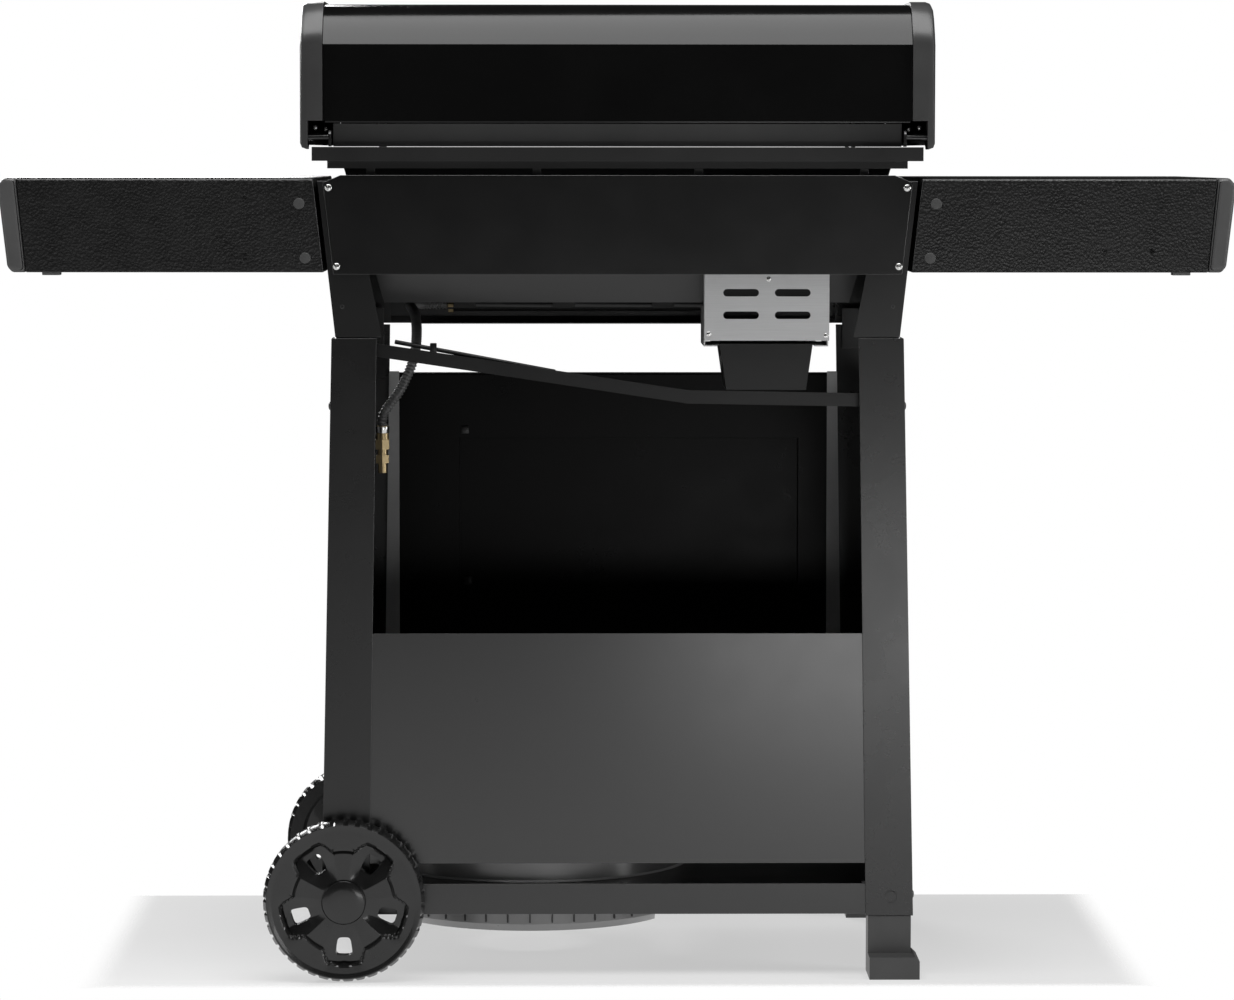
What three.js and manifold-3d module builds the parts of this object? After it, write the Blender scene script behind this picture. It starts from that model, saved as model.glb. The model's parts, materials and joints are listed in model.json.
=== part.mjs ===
// A four-burner gas barbecue grill on a two-wheeled cart, in millimetres.
// +Z is up, -Y is the cook's side, +Y is the rear and +X is the side with the wheels.
import * as THREE from "three";
import { mergeVertices } from "three/addons/utils/BufferGeometryUtils.js";
import Module from "manifold-3d";

const wasm = await Module();
wasm.setup();

// Gaps and sheets
const gap = 0.5; // between pieces that touch
const sheet = 2; // folded steel of the cart
const thinSheet = 1.6; // panels and rails

// Cart legs
const cartHalfDepth = 225;
const legBottomZ = 73;
const legTopZ = 772;
const legOuterBottom = 358;
const legOuterTop = 343;
const legFaceBottom = 57.5;
const legFaceTop = 54;
const legDepth = 42;
const past = 1; // how far a cutting shape runs past the face it cuts

// Cart panels
const railBottomZ = 75;
const railTopZ = 112;
const apronTopZ = 198; // of the front rail, under the door
const shelfTopZ = 109;
const railLip = 8;
const railFoot = 16;
const panelOverlap = 12; // of the rear panel and rails behind the legs
const sidePanelOverlap = 15;
const rearPanelZ = [137, 416.5];
const sidePanelTopZ = 700;
const doorHalfWidth = 283;
const doorZ = [203, 710]; // it swings clear over the front wheel
const doorDepth = 16;
const doorWindowX = [-240, 199];
const doorWindowZ = [262, 625];
const doorHandleZ = 655;
const doorHandleHalf = 130;
const doorHandleRadius = 7;
const doorHandleStandOff = 34;

// Gas-cylinder well
const wellX = 106;
const wellRadius = 195;
const wellTopZ = 134;
const wellBottomZ = 47;
const wellFlatHalf = 154;
const wellDrainRadius = 70;

// Wheels and feet
const wheelRadius = 97.4;
const wheelX = 329;
const wheelWidth = 40;
const wheelClearance = 5;
const axleRadius = 6;
const wheelHoles = 5;
const hubCapRadius = 26;
const wheelHoleAt = 54.5;
const wheelHoleSize = [22, 19];
const hubCapProud = 3;
const hubPocket = 6; // depth of the wheel's recess for its cap
const footWidth = 52;
const toeHeight = 27;
const toeProud = 30;
const toeSide = 8.6;
const footInset = 3; // inside the leg's inner edge
const spigotInset = [12, 8]; // inside the foot's inner and outer sides
const spigotRise = 26;

// Cart head
const headZ = [773.5, 960];
const headOuterBottom = 338.5;
const headFlare = 0.1115; // sideways per unit of height
const headFaceBottom = 55.5;
const headFaceTop = 40;
const backPanelZ = [848.6, 967];
const backPanelInset = 6.5;
const controlFaceY = -cartHalfDepth - 33;
const controlPanelHalf = 334;
const controlBottomZ = 773;
const controlShoulderZ = 925;
const controlRise = 4; // of its top above the head
const headFront = 12; // the head's sides start this far behind the panel's face
const tongue = { inset: 2, depth: 6, below: 32, above: 20 }; // from the head into a leg

// Firebox
const fireboxBottomZ = 812;
const fireboxStepZ = 975;
const flangeZ = [984, 1000.7];
const flangeHalfX = 366;
const flangeHalfY = cartHalfDepth - 7;
const stepHalfX = flangeHalfX - 18;
const stepHalfY = cartHalfDepth - 18;
const grateHalfX = stepHalfX - 12;
const grateHalfY = stepHalfY - 11;
const ledge = 10;
const fireboxFloorX = 283;
const fireboxFloorY = grateHalfY - 66;
const fireboxWall = 3;
const spacerX = [-296, -97, 97, 296];
const spacerHalf = 5;

// Burners
const burnerX = [-192, -64, 64, 192];
const burnerZ = 850;
const burnerRadius = 11;
const manifoldY = controlFaceY + 58;
const manifoldZ = 799;
const manifoldRadius = 9;
const manifoldEndX = 206;
const manifoldFarX = -215;
const nutLength = 7;
const valveHalf = 14;
const knobRadius = 24;
const knobDepth = 26;
const stemRadius = 4;
const buttonX = 255;
const buttonRadius = 9;
const tentZ = 905;
const tentRise = 24;
const tentHalf = 38;
const drainFromEdge = 24;

// Grates and warming rack
const grateBars = 15;
const grateBar = 8;
const grateRim = 12;
const grateClear = 1.5;
const rackZ = 1082;
const rackHalf = 300;
const rackY = [grateHalfY - 146, grateHalfY - 31];
const rackBars = 16;
const rackWire = 3;

// Grease cup and its guard
const cupX = -179;
const cupTopHalf = 56;
const cupBottomHalf = 48;
const cupZ = [709, 765];
const cupY = [fireboxFloorY - 44, fireboxFloorY + 74];
const guardHalf = 75;
const guardZ = [769, 866];
const guardY = cupY[1] + 12;
const guardSlotX = 31; // each side of the middle
const guardSlotZ = [799.5, 826.5];
const guardSlotHalf = 17;
const guardSlotRadius = 4.5;
const drainRadius = 14;
const guardReturn = 40; // depth of the guard's upper sides

// Rear brace
const braceHeight = 16;
const braceY = [cartHalfDepth - 32, cartHalfDepth - 18];
const braceRightZ = 760;
const braceKink = [-84, 701];
const braceLeftZ = 697;

// Hood
const hoodHalf = 353;
const hoodCapOuter = hoodHalf + 27;
const hoodTailInner = hoodCapOuter - 9;
const hoodBottomZ = 1003;
const hoodRearBottomZ = 1032;
const hoodTailZ = 998;
const hoodBendZ = 1123;
const hoodTopZ = 1172;
const hoodRearY = cartHalfDepth - 10;
const hoodFrontY = -cartHalfDepth - 11;
const hoodSheet = 2;
const hoodCapProud = 3.7;
const hoodCapWall = 5;
const pinClearance = 0.4;
const pinBlindEnd = 4; // of plastic outside the hinge pin
const hingeY = hoodRearY - 10;
const hingeZ = 1012;
const hingePinRadius = 4;
const baffleHalf = hoodHalf - 12;
const baffleZ = [1008, 1028.5];
const handleHalf = 265;
const handleZ = 1026;
const handleRadius = 11;
const handleStandOff = 44;
const gaugeZ = 1074;
const gaugeRadius = 30;
const gaugeDepth = 12;

// Side shelves
const sideShelfZ = [851, 964];
const sideShelfStart = 5; // from the head's outer side
const sideShelfEnd = 718;
const sideShelfSlant = 0.0973;
const shelfCapWidth = 23;
const sideShelfY = [-cartHalfDepth - 10, cartHalfDepth];

// Hose: a hand-chosen route from the manifold's end to the coupling
const hoseRadius = 6.5;
const hoseRoute = [
  [manifoldEndX + nutLength + gap, manifoldY, manifoldZ],
  [228, manifoldY, manifoldZ],
  [243, -195, 799],
  [255, -182, 799],
  [260, -164, 799],
  [260, -140, 799],
  [258, -110, 798],
  [255, -75, 797],
  [252, -40, 795],
  [250, -5, 793],
  [248, 28, 789],
  [246, 58, 778],
  [246, 80, 760],
  [249, 92, 741],
  [256, 98, 722],
  [265, 100, 704],
  [276, 100, 688],
  [284, 100, 677],
  [287, 100, 668],
  [287, 100, 660],
];

function material(color, roughness, metalness) {
  return new THREE.MeshStandardMaterial({ color, roughness, metalness });
}
const blackSteel = material(0x1c1c1d, 0.38, 0.4);
const blackPlastic = material(0x242425, 0.5, 0);
const texturedSteel = material(0x222223, 0.6, 0.3);
const enamel = material(0x1a1a1a, 0.25, 0.3);
const castIron = material(0x1d1c1b, 0.7, 0.5);
const stainless = material(0xb9bbbd, 0.28, 0.9);
const brass = material(0xb79a5b, 0.35, 0.9);
const rubber = material(0x2b2b2b, 0.8, 0);

// A closed geometry as a solid that can be joined and cut.
function solid(geometry) {
  const bare = geometry.index ? geometry.toNonIndexed() : geometry.clone();
  bare.deleteAttribute("normal");
  bare.deleteAttribute("uv");
  const merged = mergeVertices(bare, 1e-4);
  return new wasm.Manifold(
    new wasm.Mesh({
      numProp: 3,
      vertProperties: merged.attributes.position.array,
      triVerts: new Uint32Array(merged.index.array),
    }),
  );
}

function pointsOf(body) {
  const mesh = body.getMesh();
  const points = new Float32Array((mesh.vertProperties.length / mesh.numProp) * 3);
  for (let i = 0; i * 3 < points.length; i++) {
    const at = i * mesh.numProp;
    points.set(mesh.vertProperties.subarray(at, at + 3), i * 3);
  }
  return { points, triangles: new Uint32Array(mesh.triVerts) };
}

// The same solid reflected in the plane where one coordinate (0 for X, 1 for Y) is zero.
function reflected(body, axis) {
  const { points, triangles } = pointsOf(body);
  for (let i = axis; i < points.length; i += 3) {
    points[i] = -points[i];
  }
  for (let i = 0; i < triangles.length; i += 3) {
    const second = triangles[i + 1];
    triangles[i + 1] = triangles[i + 2];
    triangles[i + 2] = second;
  }
  return new wasm.Manifold(
    new wasm.Mesh({ numProp: 3, vertProperties: points, triVerts: triangles }),
  );
}

const grill = new THREE.Group();
grill.name = "gas_barbecue_grill";

function piece(name, body, finish) {
  const { points, triangles } = pointsOf(body);
  const indexed = new THREE.BufferGeometry();
  indexed.setAttribute("position", new THREE.BufferAttribute(points, 3));
  indexed.setIndex(new THREE.BufferAttribute(triangles, 1));
  const geometry = indexed.toNonIndexed();
  geometry.computeVertexNormals();
  const mesh = new THREE.Mesh(geometry, finish);
  mesh.name = name;
  grill.add(mesh);
}

// A right-hand piece and its reflection on the left.
function pair(name, body, finish) {
  piece(name + "_right", body, finish);
  piece(name + "_left", reflected(body, 0), finish);
}

function join(...bodies) {
  return bodies.reduce((sum, body) => sum.add(body));
}

function box(x, y, z) {
  const geometry = new THREE.BoxGeometry(x[1] - x[0], y[1] - y[0], z[1] - z[0]);
  geometry.translate((x[0] + x[1]) / 2, (y[0] + y[1]) / 2, (z[0] + z[1]) / 2);
  return solid(geometry);
}

function shapeOf(outline) {
  return new THREE.Shape(outline.map(([u, v]) => new THREE.Vector2(u, v)));
}

const plain = { bevelEnabled: false };

// An outline in X and Z carried along Y.
function prismY(outline, y, options = plain) {
  const geometry = new THREE.ExtrudeGeometry(shapeOf(outline), { ...options, depth: y[1] - y[0] });
  geometry.rotateX(Math.PI / 2);
  geometry.translate(0, y[1], 0);
  return solid(geometry);
}

// An outline in Y and Z carried along X.
function prismX(outline, x, options = plain) {
  const geometry = new THREE.ExtrudeGeometry(shapeOf(outline), { ...options, depth: x[1] - x[0] });
  const turned = new THREE.Matrix4().makeBasis(
    new THREE.Vector3(0, 1, 0),
    new THREE.Vector3(0, 0, 1),
    new THREE.Vector3(1, 0, 0),
  );
  geometry.applyMatrix4(turned);
  geometry.translate(x[0], 0, 0);
  return solid(geometry);
}

function cylinder(axis, centre, radius, length, sides = 16) {
  const geometry = new THREE.CylinderGeometry(radius, radius, length, sides);
  if (axis === "x") geometry.rotateZ(Math.PI / 2);
  if (axis === "z") geometry.rotateX(Math.PI / 2);
  geometry.translate(...centre);
  return solid(geometry);
}

// A closed profile of [radius, height] points turned about Y.
function turnedY(profile, centre, sides) {
  const points = profile.map(([r, y]) => new THREE.Vector2(r, y));
  const geometry = new THREE.LatheGeometry(points, sides);
  const body = solid(geometry);
  const facing = body.volume() < 0 ? solid(new THREE.LatheGeometry(points.reverse(), sides)) : body;
  return facing.translate(centre);
}

// A sheet that follows a line of points, as the outline of its section.
function folded(line, thickness) {
  const normals = line.map((p, i) => {
    const before = line[Math.max(i - 1, 0)];
    const after = line[Math.min(i + 1, line.length - 1)];
    const a = new THREE.Vector2(p[0] - before[0], p[1] - before[1]).normalize();
    const b = new THREE.Vector2(after[0] - p[0], after[1] - p[1]).normalize();
    const along = a.lengthSq() === 0 ? b : b.lengthSq() === 0 ? a : a.clone().add(b).normalize();
    const other = b.lengthSq() === 0 ? a : b;
    const stretch = 1 / Math.max(along.dot(other), 0.3);
    return [-along.y * stretch, along.x * stretch];
  });
  const inner = line.map((p, i) => [
    p[0] + normals[i][0] * thickness,
    p[1] + normals[i][1] * thickness,
  ]);
  return [...line, ...inner.reverse()];
}

function legShare(z) {
  return (z - legBottomZ) / (legTopZ - legBottomZ);
}
function legOuter(z) {
  return legOuterBottom + (legOuterTop - legOuterBottom) * legShare(z);
}
function legInner(z) {
  return legOuter(z) - (legFaceBottom + (legFaceTop - legFaceBottom) * legShare(z));
}
function headOuter(z) {
  return headOuterBottom + headFlare * (z - headZ[0]);
}
function headInner(z) {
  const share = (z - headZ[0]) / (headZ[1] - headZ[0]);
  return headOuter(z) - (headFaceBottom + (headFaceTop - headFaceBottom) * share);
}

function makeLegs() {
  const [low, high] = [legBottomZ, legTopZ];
  const full = [
    [legInner(low), low],
    [legOuter(low), low],
    [legOuter(high), high],
    [legInner(high), high],
  ];
  const hollow = [
    [legInner(low) - sheet, low - past],
    [legOuter(low) - sheet, low - past],
    [legOuter(high) - sheet, high + past],
    [legInner(high) - sheet, high + past],
  ];
  const back = cartHalfDepth;
  const plainLeg = prismY(full, [back - legDepth, back]).subtract(
    prismY(hollow, [back - legDepth - past, back - sheet]),
  );
  const bored = plainLeg.subtract(
    cylinder("y", [wheelX, back, wheelRadius], axleRadius + gap, 3 * sheet),
  );
  piece("rear_leg_right", bored, blackSteel);
  piece("front_leg_right", reflected(bored, 1), blackSteel);
  piece("rear_leg_left", reflected(plainLeg, 0), blackSteel);
  piece("front_leg_left", reflected(reflected(plainLeg, 0), 1), blackSteel);
}

function makeFeet() {
  const inner = legInner(legBottomZ) + footInset;
  const outer = inner + footWidth;
  const back = cartHalfDepth;
  const sleeve = box([inner, outer], [back - legDepth + 4, back - 1], [toeHeight, legBottomZ - gap]);
  const spigot = box(
    [inner + spigotInset[0], outer - spigotInset[1]],
    [back - legDepth + 8, back - 2 * sheet],
    [legBottomZ - 2, legBottomZ + spigotRise],
  );
  const toe = prismY(
    [
      [inner, 0],
      [outer + toeSide, 0],
      [outer + toeSide, toeHeight - 5],
      [outer + toeSide - 5, toeHeight + 0.1],
      [inner, toeHeight + 0.1],
    ],
    [back - legDepth + 4, back + toeProud],
  );
  const foot = reflected(join(sleeve, spigot, toe), 0);
  piece("rear_foot", foot, blackPlastic);
  piece("front_foot", reflected(foot, 1), blackPlastic);
}

function makeWheels() {
  const start = cartHalfDepth + wheelClearance;
  const outer = start + wheelWidth;
  const rim = wheelRadius - 20;
  const profile = [
    [axleRadius + gap, start + 2],
    [22, start + 2],
    [26, start + 20],
    [rim - 4, start + 20],
    [rim, start + 2],
    [wheelRadius - 5, start],
    [wheelRadius, start + 6],
    [wheelRadius, outer - 6],
    [wheelRadius - 5, outer],
    [rim, outer - 2],
    [rim - 4, outer - 10],
    [hubCapRadius + 8, outer - 8],
    [hubCapRadius + 2, outer],
    [hubCapRadius + 1, outer],
    [hubCapRadius + 1, outer - hubPocket],
    [axleRadius + gap, outer - hubPocket],
    [axleRadius + gap, start + 2],
  ];
  let wheel = turnedY(profile, [wheelX, 0, wheelRadius], 48);
  for (let i = 0; i < wheelHoles; i++) {
    const angle = -Math.PI / 2 + (i * 2 * Math.PI) / wheelHoles;
    const hole = new THREE.BoxGeometry(wheelHoleSize[0], 3 * wheelWidth, wheelHoleSize[1]);
    hole.rotateY(-angle);
    hole.translate(
      wheelX + wheelHoleAt * Math.cos(angle),
      outer,
      wheelRadius + wheelHoleAt * Math.sin(angle),
    );
    wheel = wheel.subtract(solid(hole));
  }
  piece("rear_wheel", wheel, blackPlastic);
  piece("front_wheel", reflected(wheel, 1), blackPlastic);
  const capLength = hubPocket - gap + hubCapProud;
  const cap = cylinder(
    "y",
    [wheelX, outer + hubCapProud - capLength / 2, wheelRadius],
    hubCapRadius,
    capLength,
    32,
  );
  piece("rear_hub_cap", cap, blackPlastic);
  piece("front_hub_cap", reflected(cap, 1), blackPlastic);
  const axleEnd = outer - hubPocket - gap;
  piece(
    "axle",
    cylinder("y", [wheelX, 0, wheelRadius], axleRadius, 2 * axleEnd, 20),
    stainless,
  );
}

function makeCartPanels() {
  const face = cartHalfDepth - sheet - gap;
  const [low, high] = rearPanelZ;
  const half = (z) => legInner(z) + panelOverlap;
  const rear = prismY(
    [
      [-half(low), low],
      [half(low), low],
      [half(high), high],
      [-half(high), high],
    ],
    [face - thinSheet, face],
  );
  piece("rear_panel", rear, blackSteel);

  const railEnd = legInner(railTopZ) + panelOverlap;
  const axleGap = box(
    [wheelX - 2 * axleRadius - 12, wheelX + 40],
    [face - railFoot - past, face + past],
    [railBottomZ - past, railTopZ + past],
  );
  const rail = (top) => {
    const section = [
      [face - railFoot, railBottomZ],
      [face, railBottomZ],
      [face, top],
      [face - railLip, top],
      [face - railLip, top - thinSheet],
      [face - thinSheet, top - thinSheet],
      [face - thinSheet, railBottomZ + thinSheet],
      [face - railFoot, railBottomZ + thinSheet],
    ];
    return prismX(section, [-railEnd, railEnd]).subtract(axleGap);
  };
  piece("rear_rail", rail(railTopZ), blackSteel);
  piece("front_rail", reflected(rail(apronTopZ), 1), blackSteel);

  const panelOut = (z) => legOuter(z) - sheet - gap;
  const [foot, top] = [railTopZ + 2, sidePanelTopZ];
  const sidePanel = prismY(
    [
      [panelOut(foot) - thinSheet, foot],
      [panelOut(foot), foot],
      [panelOut(top), top],
      [panelOut(top) - thinSheet, top],
    ],
    [-cartHalfDepth + legDepth - sidePanelOverlap, cartHalfDepth - legDepth + sidePanelOverlap],
  );
  pair("side_panel", sidePanel, blackSteel);
}

function makeBottomShelf() {
  const z = [shelfTopZ - thinSheet, shelfTopZ];
  const wide = legOuter(railTopZ) - sheet - 2 * gap;
  const deep = cartHalfDepth - legDepth - gap - 2;
  const inside = legInner(railTopZ) - 2;
  const face = cartHalfDepth - sheet - gap - thinSheet - railLip;
  const plate = join(box([-wide, wide], [-deep, deep], z), box([-inside, inside], [-face, face], z));
  const skirt = 14;
  const lip = join(
    box([-inside, inside], [face - thinSheet, face], [z[0] - skirt, z[1]]),
    box([-inside, inside], [-face, -face + thinSheet], [z[0] - skirt, z[1]]),
  );
  const hole = cylinder("z", [wellX, 0, z[0]], wellRadius - 4, 8 * thinSheet, 48);
  const axleSlot = box(
    [wheelX - axleRadius - 4, wheelX + axleRadius + 4],
    [-cartHalfDepth, cartHalfDepth],
    [wheelRadius - axleRadius - gap, z[0] - 0.1],
  );
  piece("bottom_shelf", join(plate, lip).subtract(hole).subtract(axleSlot), blackSteel);
}

function makeTankWell() {
  const inShelf = wellRadius - 4 - gap;
  const profile = [
    [wellDrainRadius, wellBottomZ],
    [inShelf - 12, wellBottomZ],
    [inShelf, wellBottomZ + 10],
    [inShelf, shelfTopZ + gap],
    [wellRadius + 3, shelfTopZ + gap],
    [wellRadius, shelfTopZ + 3],
    [wellRadius, wellTopZ],
    [wellRadius - thinSheet - 1, wellTopZ],
    [inShelf - sheet, shelfTopZ + 1],
    [inShelf - sheet, wellBottomZ + 11],
    [inShelf - 13, wellBottomZ + sheet],
    [wellDrainRadius, wellBottomZ + sheet],
    [wellDrainRadius, wellBottomZ],
  ];
  const geometry = new THREE.LatheGeometry(profile.map(([r, z]) => new THREE.Vector2(r, z)), 60);
  geometry.rotateX(Math.PI / 2);
  geometry.translate(wellX, 0, 0);
  const turned = solid(geometry);
  const well = turned.volume() < 0 ? reflected(turned, 1) : turned;
  const cuts = [1, -1].map((side) => {
    const near = wellX + side * wellFlatHalf;
    const far = wellX + side * 2 * wellRadius;
    const x = side > 0 ? [near, far] : [far, near];
    return box(x, [-wellRadius, wellRadius], [wellBottomZ - 1, shelfTopZ - 4]);
  });
  piece("tank_well", well.subtract(cuts[0]).subtract(cuts[1]), blackSteel);
}

function makeDoor() {
  const y = [-cartHalfDepth + 1, -cartHalfDepth + 1 + doorDepth];
  const outer = box([-doorHalfWidth, doorHalfWidth], y, doorZ);
  const inside = doorHalfWidth - thinSheet;
  const hollow = box(
    [-inside, inside],
    [y[0] + thinSheet, y[1] + past],
    [doorZ[0] + thinSheet, doorZ[1] - thinSheet],
  );
  piece("door", outer.subtract(hollow), blackSteel);

  const frameY = [y[1] - 2 * thinSheet, y[1] - thinSheet];
  const frame = box(
    [-inside + gap, inside - gap],
    frameY,
    [doorZ[0] + thinSheet + gap, doorZ[1] - thinSheet - gap],
  );
  const window = box(doorWindowX, [frameY[0] - past, frameY[1] + past], doorWindowZ);
  const fold = box(
    [doorWindowX[0] - 4, doorWindowX[1] + 4],
    [frameY[0] - 6, frameY[0] + 0.2],
    [doorWindowZ[0] - 4, doorWindowZ[1] + 4],
  );
  const foldHole = box(doorWindowX, [frameY[0] - 8, frameY[0] + 1], doorWindowZ);
  piece("door_inner_frame", join(frame, fold).subtract(window).subtract(foldHole), blackSteel);

  const barY = y[0] - doorHandleStandOff;
  const bar = cylinder("x", [0, barY, doorHandleZ], doorHandleRadius, 2 * doorHandleHalf);
  const posts = [-1, 1].map((side) => {
    const length = doorHandleStandOff - gap;
    const centre = [side * (doorHandleHalf - 18), y[0] - gap - length / 2, doorHandleZ];
    return cylinder("y", centre, doorHandleRadius - 2, length);
  });
  piece("door_handle", join(bar, ...posts), stainless);
}

function makeHead() {
  const [low, high] = headZ;
  const back = cartHalfDepth - sheet - gap;
  const front = controlFaceY + headFront;
  const outline = [
    [headInner(low), low],
    [headOuter(low), low],
    [headOuter(high), high],
    [headInner(high), high],
  ];
  const hollow = [
    [headInner(low) - sheet, low - past],
    [headOuter(low) - sheet, low - past],
    [headOuter(high) - sheet, high + past],
    [headInner(high) - sheet, high + past],
  ];
  const shell = prismY(outline, [front, back]).subtract(
    prismY(hollow, [front + sheet, back - sheet]),
  );
  const tongueX = [legInner(low) + 8, headOuter(low) - sheet / 2];
  const tongueZ = [low - tongue.below, low + tongue.above];
  const [tongueNear, tongueFar] = [back - tongue.inset - tongue.depth, back - tongue.inset];
  const tongues = [
    box(tongueX, [tongueNear, tongueFar], tongueZ),
    box(tongueX, [-tongueFar, -tongueNear], tongueZ),
  ];
  const doorway = box(
    [headInner(low) - 20, headInner(low) + 6],
    [front - past, -back],
    [low - past, high + past],
  );
  pair("head_side", join(shell.subtract(doorway), ...tongues), blackSteel);

  const half = (z) => headOuter(z) - backPanelInset;
  const [bottom, top] = backPanelZ;
  const panelY = [back + gap, back + gap + sheet];
  const shoulder = 9;
  const sheetFace = prismY(
    [
      [-half(bottom), bottom],
      [half(bottom), bottom],
      [half(top - shoulder), top - shoulder],
      [half(top) - 22, top],
      [-half(top) + 22, top],
      [-half(top - shoulder), top - shoulder],
    ],
    panelY,
  );
  const hemHalf = half(top) - 30;
  const hem = box([-hemHalf, hemHalf], [panelY[0] - 22, panelY[0] + 0.1], [top - sheet, top]);
  piece("back_panel", join(sheetFace, hem), blackSteel);
}

function makeControlPanel() {
  const line = [
    [controlFaceY + 40, controlBottomZ],
    [controlFaceY + 6, controlBottomZ],
    [controlFaceY, controlBottomZ + 8],
    [controlFaceY, controlShoulderZ],
    [controlFaceY + 34, headZ[1] + controlRise],
    [controlFaceY + 62, headZ[1] + controlRise],
  ];
  const panelSection = folded([...line].reverse(), sheet);
  let panel = prismX(panelSection, [-controlPanelHalf, controlPanelHalf]);
  for (const x of burnerX) {
    panel = panel.subtract(cylinder("y", [x, controlFaceY, burnerZ], stemRadius + 3, 12));
  }
  panel = panel.subtract(cylinder("y", [buttonX, controlFaceY, burnerZ], buttonRadius + gap, 12, 24));
  const clear = 1.5;
  const corner = (side) => {
    const x = side > 0 ? [headInner(headZ[0]) - 22, 400] : [-400, -headInner(headZ[0]) + 22];
    return box(x, [controlFaceY + headFront - clear, 0], [controlBottomZ - past, 1000]);
  };
  panel = panel.subtract(corner(1)).subtract(corner(-1));
  piece("control_panel", panel, blackSteel);

  const knobY = controlFaceY - gap;
  const knobProfile = [
    [0, knobY - knobDepth],
    [knobRadius - 6, knobY - knobDepth],
    [knobRadius - 2, knobY - knobDepth + 4],
    [knobRadius, knobY - 4],
    [knobRadius + 3, knobY - gap],
    [stemRadius + 1, knobY - gap],
    [stemRadius + 1, knobY - 16],
    [0, knobY - 16],
  ];
  burnerX.forEach((x, i) => {
    const knob = turnedY(knobProfile, [x, 0, burnerZ], 28);
    const grip = box([x - 4, x + 4], [knobY - knobDepth - 7, knobY - knobDepth + 1], [
      burnerZ - knobRadius + 7,
      burnerZ + knobRadius - 7,
    ]);
    piece("burner_knob_" + (i + 1), knob.add(grip), blackPlastic);
  });
  const buttonLength = 15;
  const cap = cylinder("y", [buttonX, controlFaceY - 5.5, burnerZ], buttonRadius, 9 - gap, 24);
  const shaft = cylinder("y", [buttonX, controlFaceY + 4, burnerZ], buttonRadius - 3, buttonLength);
  const button = join(cap, shaft);
  piece("ignition_button", button, blackPlastic);
}

// A four-sided block between a low rectangle and a high rectangle.
function tapered(low, high, z) {
  const geometry = new THREE.BoxGeometry(2, 2, 2);
  const at = geometry.attributes.position;
  for (let i = 0; i < at.count; i++) {
    const [halfX, halfY] = at.getZ(i) > 0 ? high : low;
    at.setXYZ(i, at.getX(i) * halfX, at.getY(i) * halfY, at.getZ(i) > 0 ? z[1] : z[0]);
  }
  return solid(geometry);
}

const fireboxTopX = grateHalfX - ledge + fireboxWall;
const fireboxTopY = grateHalfY - ledge + fireboxWall;
function fireboxInsideY(z) {
  const share = (z - fireboxBottomZ) / (fireboxStepZ - fireboxBottomZ);
  return fireboxFloorY + (fireboxTopY - fireboxFloorY) * share - fireboxWall;
}

function makeFirebox() {
  const z = [fireboxBottomZ, fireboxStepZ + 0.5];
  const outside = tapered([fireboxFloorX, fireboxFloorY], [fireboxTopX, fireboxTopY], z);
  const inside = tapered(
    [fireboxFloorX - fireboxWall, fireboxFloorY - fireboxWall],
    [fireboxTopX - fireboxWall, fireboxTopY - fireboxWall],
    [z[0] + fireboxWall, z[1] + 1],
  );
  const frame = (halfX, halfY, holeX, holeY, height) =>
    box([-halfX, halfX], [-halfY, halfY], height).subtract(
      box([-holeX, holeX], [-holeY, holeY], [height[0] - 1, height[1] + 1]),
    );
  const step = frame(stepHalfX, stepHalfY, grateHalfX - ledge, grateHalfY - ledge, [
    fireboxStepZ,
    flangeZ[0] + 0.1,
  ]);
  const flange = frame(flangeHalfX, flangeHalfY, grateHalfX, grateHalfY, flangeZ);
  const spacers = spacerX.map((x) =>
    box(
      [x - spacerHalf, x + spacerHalf],
      [stepHalfY - 6, stepHalfY - gap],
      [backPanelZ[1] + gap, fireboxStepZ + 1],
    ),
  );
  let body = join(outside.subtract(inside), step, flange, ...spacers);
  for (const x of burnerX) {
    const wall = [x, -fireboxInsideY(burnerZ) - 2, burnerZ];
    body = body.subtract(cylinder("y", wall, burnerRadius + gap, 30));
  }
  const drainAt = [cupX, fireboxFloorY - drainFromEdge, z[0]];
  const drain = cylinder("z", drainAt, drainRadius, 4 * fireboxWall, 20);
  piece("firebox", body.subtract(drain), enamel);
}

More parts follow.
